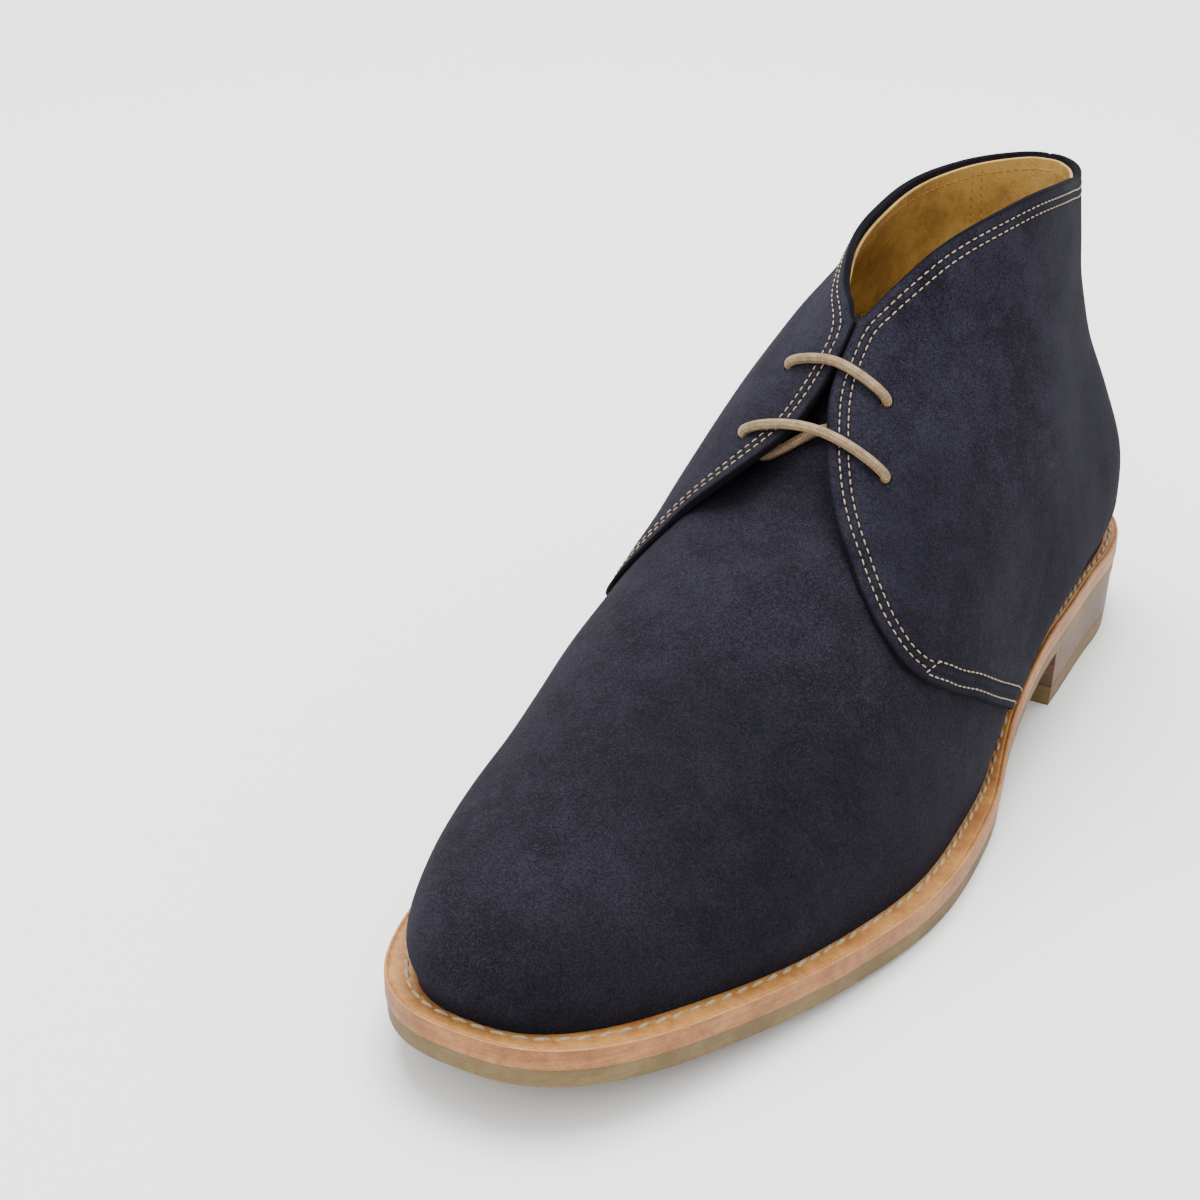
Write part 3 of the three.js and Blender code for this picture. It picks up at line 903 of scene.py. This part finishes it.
class Finishes:
    """All the finishes of the boot, each made once."""

    def __init__(self) -> None:
        """Makes the materials."""
        lighter = {"dark": (0.0078, 0.0071, 0.0112, 1.0), "light": (0.0205, 0.0190, 0.0305, 1.0)}
        self.suede = SuedeFinish(name="Navy suede, quarters", **lighter).build()
        self.plain_suede = SuedeFinish(name="Navy suede, vamp", edged=False).build()
        self.lining = LeatherFinish(
            "Lining leather", (0.258, 0.136, 0.028, 1), (0.455, 0.278, 0.066, 1), roughness=0.6
        ).build()
        self.welt = LeatherFinish(
            "Welt leather", (0.26, 0.100, 0.022, 1), (0.43, 0.200, 0.052, 1), 110.0, roughness=0.42
        ).build()
        self.edge = EdgeFinish("Sole edge", (0.19, 0.067, 0.019, 1), (0.36, 0.159, 0.049, 1)).build()
        self.rubber = EdgeFinish(
            "Sole rubber", (0.105, 0.068, 0.025, 1), (0.166, 0.113, 0.047, 1), 0.7
        ).build()
        # The heel's side keeps its own greyer tone but gets darker colours than the sole edge. That extra
        # darkness is painted shade, because the heel's side stands in shade.
        self.stack = EdgeFinish("Heel edge with painted shade", (0.068, 0.032, 0.017, 1), (0.136, 0.070, 0.038, 1)).build()
        self.lace = CordFinish().build()
        self.thread = ThreadFinish("Cream thread", (0.36, 0.28, 0.175, 1), (0.22, 0.16, 0.092, 1)).build()
        self.tan_thread = ThreadFinish("Tan thread", (0.42, 0.17, 0.035, 1), (0.26, 0.10, 0.02, 1)).build()


def dress(obj: Piece, finish: Material, slot: str, *nodes: str) -> None:
    """Gives a piece its finish and its place in the frame.

    Args:
        obj: The piece.
        finish: Its material.
        slot: Not used.
        *nodes: The solids it stands for.
    """
    obj.data.materials.clear()
    obj.data.materials.append(finish)
    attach(obj, "root")
    if nodes:
        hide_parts(*nodes)
    log.info("%s: %d faces", obj.name, len(obj.data.polygons))


# --- Stitches ---


@dataclass(frozen=True)
class Stitches:
    """Rows of one thread, each stitch a short rounded strand that dips at its ends."""

    length: float = 1.7
    thick: float = 0.38
    pitch: float = 2.2
    dip: float = 0.25

    def one(self) -> tuple[Array, list]:
        """Models a single stitch.

        Returns:
            Its points in millimetres and its faces.
        """
        clear_selection()
        bpy.ops.mesh.primitive_uv_sphere_add(segments=8, ring_count=5, radius=0.5)
        bead = bpy.context.object
        points = np.array([tuple(v.co) for v in bead.data.vertices])
        faces = [tuple(p.vertices) for p in bead.data.polygons]
        bpy.data.objects.remove(bead, do_unlink=True)
        points = points[:, [2, 0, 1]]
        share = points[:, 0] * 2
        points[:, 0] = np.sign(share) * np.abs(share) ** 0.7 * self.length / 2
        points[:, 1:] *= self.thick
        points[:, 2] -= self.dip * share**2
        return points, faces

    def build(self, name: str, lines: list[Array], slant: float = 0.0) -> Piece:
        """Sews along lines.

        Args:
            name: Name of the object.
            lines: Rows of position and outward direction along each line.
            slant: Turn of each stitch in degrees about the outward direction.

        Returns:
            All the stitches as one object.
        """
        shape, shape_faces = self.one()
        rng = np.random.default_rng(7)
        points, faces, count = [], [], 0
        turn = math.radians(slant)
        for line in lines:
            rows, along = resample(line, self.pitch, self.pitch / 2)
            for row, ahead in zip(rows, along):
                out = unit(row[3:6])
                side = unit(np.cross(out, ahead))
                front = np.cross(side, out)
                lean = turn + rng.normal(0, 0.04)
                x = front * math.cos(lean) + side * math.sin(lean)
                y = np.cross(out, x)
                size = rng.uniform(0.94, 1.05)
                points.append(row[:3] + size * (shape[:, :1] * x + shape[:, 1:2] * y + shape[:, 2:] * out))
                faces += [tuple(i + count for i in face) for face in shape_faces]
                count += len(shape)
        obj = mesh_object(name, np.concatenate(points), faces)
        tidy_normals(obj)
        pick(obj)
        bpy.ops.object.shade_smooth()
        return obj


# --- Sole ---

WELT_TUCK = 4.3


def welt_inset(share: float, inset: float) -> Callable[[Array], Array]:
    """Inset made of a share of the welt's width and a fixed distance."""
    return lambda s: share * LAST.welt_width(s) + inset


@dataclass(frozen=True)
class Sole:
    """The rubber outsole, the leather midsole, the insole and the heel."""

    finishes: Finishes
    rows: int = 96
    columns: int = 12

    def slab(
        self, name: str, insets: tuple, low: Measure, high: Measure, end: float | None, bevel: float
    ) -> Piece:
        """Slab with the outline of the sole.

        Args:
            name: Name of the object.
            insets: How far its lower and upper edges are drawn in.
            low: Height of its underside.
            high: Height of its top.
            end: Station of a straight front, if it has one.
            bevel: Rounding of its edges.

        Returns:
            The new object.
        """
        clear_selection()
        divisions = {"x_subdivisions": self.columns, "y_subdivisions": self.rows}
        bpy.ops.mesh.primitive_grid_add(size=1, **divisions)
        obj = bpy.context.object
        obj.name = name
        bpy.ops.object.mode_set(mode="EDIT")
        bpy.ops.mesh.select_all(action="SELECT")
        bpy.ops.mesh.extrude_region_move(TRANSFORM_OT_translate={"value": (0, 0, 1)})
        bpy.ops.object.mode_set(mode="OBJECT")
        given = np.array([tuple(v.co) for v in obj.data.vertices])
        across = given[:, 0] + 0.5
        step = np.round((given[:, 1] + 0.5) * self.rows).astype(int)
        top = given[:, 2] > 0.5
        out = np.zeros_like(given)
        for is_top, inset, height in ((False, insets[0], low), (True, insets[1], high)):
            outer, inner = LAST.outline(inset, end, self.rows)
            place = outer[step] * across[:, None] + inner[step] * (1 - across[:, None])
            level = height(place[:, 1]) if callable(height) else np.full(len(place), float(height))
            out = np.where((top == is_top)[:, None], LAST.place(place, level), out)
        obj.data.vertices.foreach_set("co", (out * MM + SHIFT).ravel())
        obj.data.update()
        tidy_normals(obj, 0.00001)
        soften(obj, bevel, 3, 55)
        return obj

    def build(self) -> None:
        """Makes every layer."""

        def above(distance: float) -> Measure:
            """Height at a distance above the underside of the sole."""
            return lambda s: LAST.underside(s) + distance

        made = self.finishes
        mid = LAST.outsole + LAST.gap
        low = LAST.seat(np.float64(0)) - LAST.underside(np.float64(0))
        inset = welt_inset(1, WELT_TUCK)
        lift, breast = LAST.heel_lift, LAST.breast
        layers = (
            ("outsole", (0.5, 0.3), above(0.0), above(LAST.outsole + 0.27), None, 0.45),
            ("midsole", (0, 0), above(mid), above(mid + 2.69), None, 0.06),
            ("heel_lift", (1.9, 1.4), 0.0, lift, breast, 0.4),
            ("heel_stack", (1.4, 0.8), lift + 0.2, above(-0.1), breast, 0.25),
            ("insole", (inset, inset), above(low), above(low + 3), None, 0.7),
        )
        looks = {
            "outsole": (made.rubber, "outsole_rubber"),
            "midsole": (made.edge, "edge_leather"),
            "heel_lift": (made.rubber, "outsole_rubber"),
            # The heel stack's darker edge finish carries painted shade.
            "heel_stack": (made.stack, "edge_leather"),
            "insole": (made.lining, "lining_leather"),
        }
        for node, *shape in layers:
            dress(self.slab(f"{node}_piece", *shape), *looks[node], node)


@dataclass(frozen=True)
class Welt:
    """The stitched welt round the feather line."""

    finishes: Finishes
    stitch_in: float = 0.95
    groove_in: float = 1.1
    side_steepness: float = 0.45

    def line(self, inset: Measure, height: float) -> tuple[Array, Array]:
        """Closed line round the welt.

        Args:
            inset: How far in from the edge of the sole.
            height: Height above the welt's underside.

        Returns:
            Positions, and the same points as x and station.
        """
        outer, inner = LAST.outline(inset, None, 240)
        flat = np.concatenate([outer, inner[1:-1][::-1]])
        return LAST.place(flat, LAST.welt_top(flat[:, 1]) - LAST.welt + height), flat

    def build(self) -> None:
        """Makes the welt and sews it."""
        stitch, groove = self.stitch_in, self.groove_in
        # Share of the welt's width, inset, and height above the underside.
        section = (
            (1, WELT_TUCK, 0.05),
            (1, WELT_TUCK, 2.0),
            (1, 0.4, 2.0),
            (1, -0.4, 1.98),
            (1, 0.35 - stitch, 1.9),
            (1, -stitch, 1.78),
            (1, -0.45 - stitch, 1.92),
            (0, groove + 0.45, 2.0),
            (0, groove + 0.12, 1.72),
            (0, groove - 0.18, 1.75),
            (0, groove - 0.45, 2.04),
            (0, 0.35, 2.02),
            (0, 0.1, 1.88),
            (0, 0.0, 1.6),
            (0, 0.0, 0.4),
            (0, 0.03, 0.0),
        )
        loops, uvs = [], []
        for share, inset, height in section:
            points, flat = self.line(welt_inset(share, inset), height)
            loops.append(points)
            uvs.append(np.stack([flat[:, 1] * MM, np.full(len(flat), height * MM)], 1))
        welt = ring("welt_piece", loops, uvs)
        shade(welt, 40.0)
        dress(welt, self.finishes.welt, "welt_leather", "welt")
        welt.data.materials.append(self.finishes.edge)
        for face in welt.data.polygons:
            if abs(face.normal.z) < self.side_steepness:
                face.material_index = 1
        path, _ = self.line(welt_inset(1, -stitch), 1.95)
        path = np.concatenate([path, path[:1]])
        up = np.zeros_like(path)
        up[:, 2] = 1
        sewing = Stitches(length=3.95, thick=1.05, pitch=4.5, dip=0.4)
        stitches = sewing.build("welt_stitches", [np.concatenate([path, up], 1)], 7.0)
        dress(stitches, self.finishes.thread, "stitch_thread")


# --- Upper ---


def crease(level: Array, angle: Array) -> Array:
    """Soft troughs and ridges of a worn-in upper.

    Args:
        level: Levels.
        angle: Angles in degrees round the whole loop.

    Returns:
        Height at each point in millimetres.
    """
    troughs = (
        (5.6, 62.0, 0.5, 34.0, -0.55, 0.010),
        (5.0, 70.0, 0.45, 30.0, 0.35, 0.012),
        (6.5, 95.0, 0.4, 26.0, -0.35, -0.006),
        (5.4, 300.0, 0.45, 30.0, -0.45, -0.010),
        (4.2, 182.0, 0.22, 34.0, -0.30, 0.0),
        (3.75, 178.0, 0.2, 30.0, 0.22, 0.0),
    )
    total = np.zeros(np.broadcast(level, angle).shape)
    for middle, at, tall, wide, depth, lean in troughs:
        away = (np.mod(angle - at + 180, 360) - 180) / wide
        rise = (level - middle - lean * (angle - at)) / tall
        total = total + depth * np.exp(-(away**2) - rise**2)
    return total


def tuck_in(points: Array, level: Array) -> Array:
    """Points with their lowest rows tucked down into the feather line."""
    points[..., 2] -= 0.85 * (1 - np.clip(level / 0.12, 0, 1))
    return points


def away_from_edges(level: Array) -> Array:
    """Edge distances of a piece whose edges are not darkened."""
    return np.full((*level.shape, 2), 0.02)


@dataclass(frozen=True)
class Quarter:
    """One quarter: the suede side that carries two eyelets."""

    finishes: Finishes
    side: Side
    rows: int = 120
    columns: int = 96
    proud: float = 2.0
    foot: float = 0.35
    skive: float = 0.7
    skive_reach: float = 6.0
    about_long: float = 110.0
    rows_of_thread: tuple = (3.0, 5.1)
    low_rows_of_thread: tuple = ((1.9, 0.45), (5.7, 0.5))
    corner_top: float = 3.62

    def layout(self) -> tuple[Array, Array]:
        """Where the quarter's grid lies.

        Returns:
            Level and angle at each grid point: rows rise and columns go from the back seam forward.
        """
        v = np.linspace(0, 1, self.rows)[:, None]
        u = np.linspace(0, 1, self.columns)[None]
        level = v * 7.4 + 0 * u
        angle = level * 0
        for _ in range(12):
            angle = 0.06 + u * (LAST.quarter_edge(self.side, level) - 0.06)
            around = angle if self.side is Side.OUTER else 360 - angle
            level = v * LAST.collar(around)
        return level, around

    def outer_offset(self, level: Array) -> Array:
        """How far the quarter stands off the last's surface."""
        return self.foot + (self.proud - self.foot) * ease(level / 1.0)

    def grids(self) -> tuple[Array, Array, Array]:
        """Outer points, inner points and edge distances of the quarter.

        Returns:
            Outer grid, inner grid and a pair of distances for each grid point.
        """
        level, around = self.layout()
        forward = (1 - np.linspace(0, 1, self.columns)[None]) * self.about_long
        skived = self.skive * (1 - ease(forward / self.skive_reach))
        skived = skived * (1 - ease((level - 4.9) / 0.7))
        top = self.outer_offset(level) + crease(level, around) - skived
        outside = tuck_in(LAST.skin(level, around, top), level)
        inside = tuck_in(LAST.skin(level, around, np.minimum(0.1, top - 0.9)), level)
        edges = [nearest(outside, outside[:, -1]), nearest(outside, outside[-1])]
        return outside, inside, np.stack(edges, -1)

    def row(
        self, outside: Array, shape: Array, which: int, distance: float, keep: Callable
    ) -> Array:
        """Line at a distance from one edge.

        Args:
            outside: Outer grid.
            shape: Edge distances.
            which: 0 for the front edge and 1 for the collar.
            distance: How far from the edge.
            keep: Test of each point's level and other distance.

        Returns:
            Positions and outward directions along the line.
        """
        level, around = self.layout()
        out = LAST.facing(level, around)
        data = np.concatenate([outside, out, shape[..., 1 - which : 2 - which], level[..., None]], -1)
        lines = data if which == 0 else data.transpose(1, 0, 2)
        far = shape[..., which] if which == 0 else shape[..., which].T
        found = []
        for points, away in zip(lines, far):
            order = np.argsort(away)
            if away[order[-1]] >= distance:
                columns = points[order].T
                found.append([np.interp(distance, away[order], column) for column in columns])
        rows = np.array(found)
        return rows[[bool(keep(row[7], row[6])) for row in rows]][:, :6]

    def seams(self, outside: Array, shape: Array) -> list[Array]:
        """Lines of stitches on the quarter.

        Args:
            outside: Outer grid.
            shape: Edge distances.

        Returns:
            Positions and outward directions along each line.
        """
        lines = []
        for d in self.rows_of_thread:
            facing = self.row(outside, shape, 0, d, lambda level, other: level > 3.55 and other >= d)
            collar = self.row(outside, shape, 1, d, lambda level, other: other >= d)
            whole, _ = resample(np.concatenate([facing, collar[::-1]]), 0.6)
            lines.append(relax(whole))
        tops = []
        top = self.corner_top
        for d, low in self.low_rows_of_thread:
            lines.append(self.row(outside, shape, 0, d, lambda level, other: low < level < top))
            tops.append(lines[-1][-1])
        lines.append(np.stack([tops[0] + (tops[1] - tops[0]) * f for f in (0.0, 0.35, 0.7, 1.0)]))
        return lines

    def build(self) -> list[Array]:
        """Makes the quarter, punches it and sews it.

        Returns:
            Lines of stitches for the lining, as positions and outward directions.
        """
        outside, inside, shape = self.grids()
        name = f"quarter_{self.side.value}"
        obj = shell(f"{name}_piece", outside, inside, shape * MM)
        soften(obj, 0.45, 2, 55)
        for key, (level, angle) in EYELETS.items():
            if key.startswith(self.side.value):
                punch(obj, level, angle)
        shade(obj)
        dress(obj, self.finishes.suede, "navy_suede", name)
        lines = self.seams(outside, shape)
        for line in lines:
            line[:, :3] += line[:, 3:6] * 0.08
        dress(Stitches().build(f"{name}_stitches", lines), self.finishes.thread, "stitch_thread")
        return [self.row(outside, shape, 1, 4.2, lambda level, other: other > 6)]


def punch(obj: Piece, level: float, angle: float) -> None:
    """Punches one eyelet.

    Args:
        obj: The piece.
        level: Level of the eyelet.
        angle: Angle of the eyelet.
    """
    middle = Vector((LAST.surface(level, angle) * MM + SHIFT).tolist())
    out = Vector(LAST.facing(level, angle).tolist())
    clear_selection()
    bpy.ops.mesh.primitive_cylinder_add(vertices=28, radius=EYELET_RADIUS * MM, depth=16 * MM)
    cutter = bpy.context.object
    cutter.matrix_world = Matrix.Translation(middle) @ out.to_track_quat("Z", "Y").to_matrix().to_4x4()
    pick(obj)
    cut = obj.modifiers.new("hole", "BOOLEAN")
    cut.operation = "DIFFERENCE"
    cut.solver = "EXACT"
    cut.object = cutter
    bpy.ops.object.modifier_apply(modifier="hole")
    bpy.data.objects.remove(cutter, do_unlink=True)


@dataclass(frozen=True)
class Vamp:
    """The vamp with its tongue in one piece."""

    finishes: Finishes
    rows: int = 150
    columns: int = 110
    top: float = 7.15
    thick: float = 1.25
    lap: float = 8.0
    lap_top: float = 5.6
    tongue_low: float = 4.95
    tongue_half: float = 40.0
    tongue_narrows: float = 4.0
    sink: float = 6.6
    sink_from: float = 5.3

    def build(self) -> None:
        """Makes the vamp."""
        level = np.linspace(0, self.top, self.rows)[:, None]
        share = np.linspace(0, 1, self.columns)[None]
        sides = []
        for side in (Side.OUTER, Side.INNER):
            under = 180 - LAST.quarter_edge(side, np.minimum(level, self.lap_top)) + self.lap
            tongue = self.tongue_half - self.tongue_narrows * ease((level - self.tongue_low) / 2.35)
            sides.append(np.where(under > tongue, under, tongue))
        angle = 180 - sides[0] + share * (sides[0] + sides[1])
        level = level + 0 * share
        drop = self.sink * ease((level - self.sink_from) / 0.7)
        top = -drop + crease(level, angle) * (1 - ease((level - 4.9) / 0.5))
        outside = tuck_in(LAST.skin(level, angle, top), level)
        inside = tuck_in(LAST.skin(level, angle, top - self.thick), level)
        obj = shell("vamp_piece", outside, inside, away_from_edges(level))
        soften(obj, 0.35, 2, 55)
        dress(obj, self.finishes.plain_suede, "navy_suede", "upper", "tongue")


@dataclass(frozen=True)
class Lining:
    """The leather lining of the quarters and the vamp."""

    finishes: Finishes
    outer: float = -1.45
    inner: float = -2.3
    join: float = 5.0
    moved_out: float = 1.25
    below_collar: float = 0.07
    seam_top: float = 6.82
    seam_low: float = 5.1
    seam_angle: float = 323.0
    seam_lean: float = 7.0

    def quarters(self) -> None:
        """Makes the lining behind the quarters."""
        share = np.linspace(0, 1, 150)[None]
        rise = np.linspace(0, 1, 70)[:, None]
        level = self.join + rise * 2.3 + 0 * share
        for _ in range(10):
            back = 9 - 7 * ease((level - 6.6) / 0.5)
            a = LAST.quarter_edge(Side.OUTER, level) - back
            b = 360 - LAST.quarter_edge(Side.INNER, level) + back
            angle = b + share * (a + 360 - b)
            level = self.join + rise * (LAST.collar(angle) - self.below_collar - self.join)
        out = self.moved_out * ease((level - self.join - 0.05) / 0.9)
        outside = LAST.skin(level, angle, self.outer + out)
        inside = LAST.skin(level, angle, self.inner + out)
        obj = shell("lining_quarters", outside, inside, away_from_edges(level))
        soften(obj, 0.25, 2, 55)
        for place in EYELETS.values():
            punch(obj, *place)
        shade(obj)
        dress(obj, self.finishes.lining, "lining_leather", "upper")

    def vamp(self) -> None:
        """Makes the lining of the vamp and the foot, as one ring."""
        turn = np.arange(0, 360, 2.5)
        rise = np.linspace(0.2, self.join - 0.01, 34)
        loops = [LAST.skin(v, turn, np.full(turn.shape, self.outer)) for v in rise]
        loops += [LAST.skin(v, turn, np.full(turn.shape, self.inner)) for v in rise[::-1]]
        obj = ring("lining_vamp", loops, [away_from_edges(turn)] * len(loops))
        shade(obj)
        dress(obj, self.finishes.lining, "lining_leather", "upper")

    def build(self, lines: list[Array]) -> None:
        """Makes the lining and its stitches.

        Args:
            lines: Lines of stitches near the collar.
        """
        self.quarters()
        self.vamp()
        inward = []
        for line in lines:
            position = line[:, :3] - line[:, 3:6] * (2.0 - self.inner - 1.2)
            inward.append(np.concatenate([position, -line[:, 3:6]], 1))
        height = np.linspace(self.seam_top, self.seam_low, 60)
        for shift in (-2.08, 2.08):
            angle = self.seam_angle + (self.seam_top - height) * self.seam_lean + shift
            distance = self.inner + 1.2 * ease((height - self.join - 0.05) / 0.9)
            position = LAST.skin(height, angle, distance)
            inward.append(np.concatenate([position, -LAST.facing(height, angle)], 1))
        stitches = Stitches(length=1.8, thick=0.4).build("lining_stitches", inward)
        dress(stitches, self.finishes.tan_thread, "stitch_thread")


# --- Lace ---


@dataclass(frozen=True)
class Lace:
    """The waxed lace: two bars, a crossing under them and its hidden ends."""

    finishes: Finishes
    thick: float = 2.5
    around: int = 18
    step: float = 0.45
    over: float = 3.35
    top: float = 2.3
    low: float = -3.0
    under: float = -4.25
    upper_rise: float = 0.27
    lower_rise: float = 0.42
    cross_rise: float = 0.2

    def route(self) -> Array:
        """Points that the lace runs through.

        Returns:
            One row for each point.
        """
        over, under = self.over, self.under
        down = (self.top, (self.top + self.low) / 2, self.low)

        def hole(key: str, *distances: float) -> list[Array]:
            """Points through one eyelet at distances from the surface."""
            return [LAST.skin(*EYELETS[key], distance) for distance in distances]

        def run(start: str, end: str, *stops: tuple[float, float, float]) -> list[Array]:
            """Points between two eyelets: share of the way, distance and rise of each."""
            a, b = np.array(EYELETS[start]), np.array(EYELETS[end])
            points = []
            for share, distance, rise in stops:
                level, angle = a + (b - a) * share
                points.append(LAST.skin(level + 4 * rise * share * (1 - share), angle, distance))
            return points

        bar = ((0.08, over), (0.3, over), (0.5, over - 0.1), (0.7, over), (0.92, over))
        upper = ((0.1, over), (0.5, over + 0.2), (0.9, over))
        cross = ((0.09, under, 0), (0.5, under, self.cross_rise), (0.91, under, 0))
        return np.array([
            *hole("inner_upper", under - 0.6, *down[::-1]),
            *run("inner_upper", "outer_upper", *((*stop, self.upper_rise) for stop in upper)),
            *hole("outer_upper", *down),
            *run("outer_upper", "inner_lower", *cross),
            *hole("inner_lower", *down[::-1]),
            *run("inner_lower", "outer_lower", *((*stop, self.lower_rise) for stop in bar)),
            *hole("outer_lower", *down),
            *run("outer_lower", "outer_upper", (0.25, under, 0), (0.6, under, 0)),
        ])

    def curve(self) -> Array:
        """Smooth line through the lace's points, with steps that suit their spacing.

        Returns:
            Many points along the lace.
        """
        knots = self.route()
        held = np.concatenate([[2 * knots[0] - knots[1]], knots, [2 * knots[-1] - knots[-2]]])
        pieces = []
        for i in range(len(knots) - 1):
            p = held[i : i + 4]
            t = np.concatenate([[0], np.cumsum(np.sqrt(np.linalg.norm(np.diff(p, axis=0), axis=1)))])
            x = np.linspace(t[1], t[2], 14, endpoint=False)[:, None]
            a = [((t[k + 1] - x) * p[k] + (x - t[k]) * p[k + 1]) / (t[k + 1] - t[k]) for k in range(3)]
            b = [((t[k + 2] - x) * a[k] + (x - t[k]) * a[k + 1]) / (t[k + 2] - t[k]) for k in range(2)]
            pieces.append(((t[2] - x) * b[0] + (x - t[1]) * b[1]) / (t[2] - t[1]))
        return np.concatenate([*pieces, knots[-1:]])

    def build(self) -> None:
        """Makes the lace."""
        rows, along = resample(self.curve(), self.step)
        log.info("lace length %.0f mm", self.step * len(rows))
        side = unit(np.cross(along[0], (0.0, 0.0, 1.0)))
        turn = np.linspace(0, 2 * math.pi, self.around + 1)
        points, uvs = [], []
        for k, (place, ahead) in enumerate(zip(rows, along)):
            side = unit(side - ahead * np.dot(side, ahead))
            up = np.cross(ahead, side)
            circle = np.cos(turn)[:, None] * side + np.sin(turn)[:, None] * up
            points.append(place[:3] + circle * self.thick / 2)
            uvs.append(np.stack([turn / (2 * math.pi), np.full(len(turn), self.step * k * MM)], 1))
        n = self.around + 1
        faces = grid_faces(len(points), n)
        faces.append(tuple(range(self.around)))
        last = (len(points) - 1) * n
        faces.append(tuple(last + i for i in range(self.around))[::-1])
        obj = mesh_object("lace_piece", np.concatenate(points), faces, np.concatenate(uvs))
        tidy_normals(obj, 0.000001)
        shade(obj)
        dress(obj, self.finishes.lace, "waxed_cord", "lace")


# --- Studio ---


@dataclass(frozen=True)
class Studio:
    """A plain pale floor, soft lights and the camera."""

    place: tuple = (0.24164, -0.50273, 0.33011)
    turn: float = 30.863
    tilt: float = 26.572
    roll: float = 0.324
    lens: float = 77.742

    def light(self, name: str, place: tuple, size: float, power: float) -> None:
        """Adds one soft light that faces the boot.

        Args:
            name: Name of the light.
            place: Where it stands.
            size: Its width.
            power: Its strength in watts.
        """
        data = bpy.data.lights.new(name, "AREA")
        data.energy = power
        data.size = size
        lamp = bpy.data.objects.new(name, data)
        lamp.location = place
        lamp.rotation_euler = (Vector((0, 0, 0.05)) - Vector(place)).to_track_quat("-Z", "Y").to_euler()
        bpy.context.scene.collection.objects.link(lamp)

    def build(self) -> None:
        """Makes the floor, the lights and the camera."""
        clear_selection()
        bpy.ops.mesh.primitive_plane_add(size=12)
        floor = bpy.context.object
        floor.name = "floor"
        made, nodes, shader = material("Floor")
        values = {"Base Color": (0.9, 0.9, 0.9, 1), "Roughness": 0.9, "Specular IOR Level": 0.1}
        nodes.give(shader, values)
        floor.data.materials.append(made)
        world = bpy.data.worlds.new("Studio")
        world.use_nodes = True
        background = world.node_tree.nodes["Background"]
        background.inputs["Color"].default_value = (1, 1, 1, 1)
        background.inputs["Strength"].default_value = 1.6
        bpy.context.scene.world = world
        self.light("overhead", (-0.25, 0.3, 1.5), 1.1, 48)
        self.light("front", (0.2, -1.6, 1.0), 1.0, 10)
        a, e, r = (math.radians(v) for v in (self.turn, self.tilt, self.roll))
        back = np.array([math.sin(a) * math.cos(e), -math.cos(a) * math.cos(e), math.sin(e)])
        right = np.array([math.cos(a), math.sin(a), 0.0])
        up = np.cross(back, right)
        across = right * math.cos(r) + up * math.sin(r)
        rise = up * math.cos(r) - right * math.sin(r)
        data = bpy.data.cameras.new("view")
        data.lens = self.lens
        data.sensor_width = 36.0
        camera = bpy.data.objects.new("view", data)
        rows = [(across[i], rise[i], back[i], self.place[i]) for i in range(3)]
        camera.matrix_world = Matrix([*rows, (0, 0, 0, 1)])
        bpy.context.scene.collection.objects.link(camera)
        bpy.context.scene.camera = camera


# --- Assembly ---


def main() -> None:
    """Builds the boot in the order it is made."""
    logging.basicConfig(level=logging.INFO, format="%(message)s")
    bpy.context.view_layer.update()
    low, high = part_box("midsole")
    outer, inner = LAST.outline(0.0)
    middle = (outer[:, 0].max() + inner[:, 0].min()) / 2 * MM
    SHIFT[0] = (low[0] + high[0]) / 2 - middle
    SHIFT[1] = (low[1] + high[1]) / 2
    finishes = Finishes()
    Sole(finishes).build()
    Welt(finishes).build()
    Vamp(finishes).build()
    lines = []
    for side in Side:
        lines += Quarter(finishes, side).build()
    Lining(finishes).build(lines)
    Lace(finishes).build()
    Studio().build()


if __name__ == "__main__":
    main()
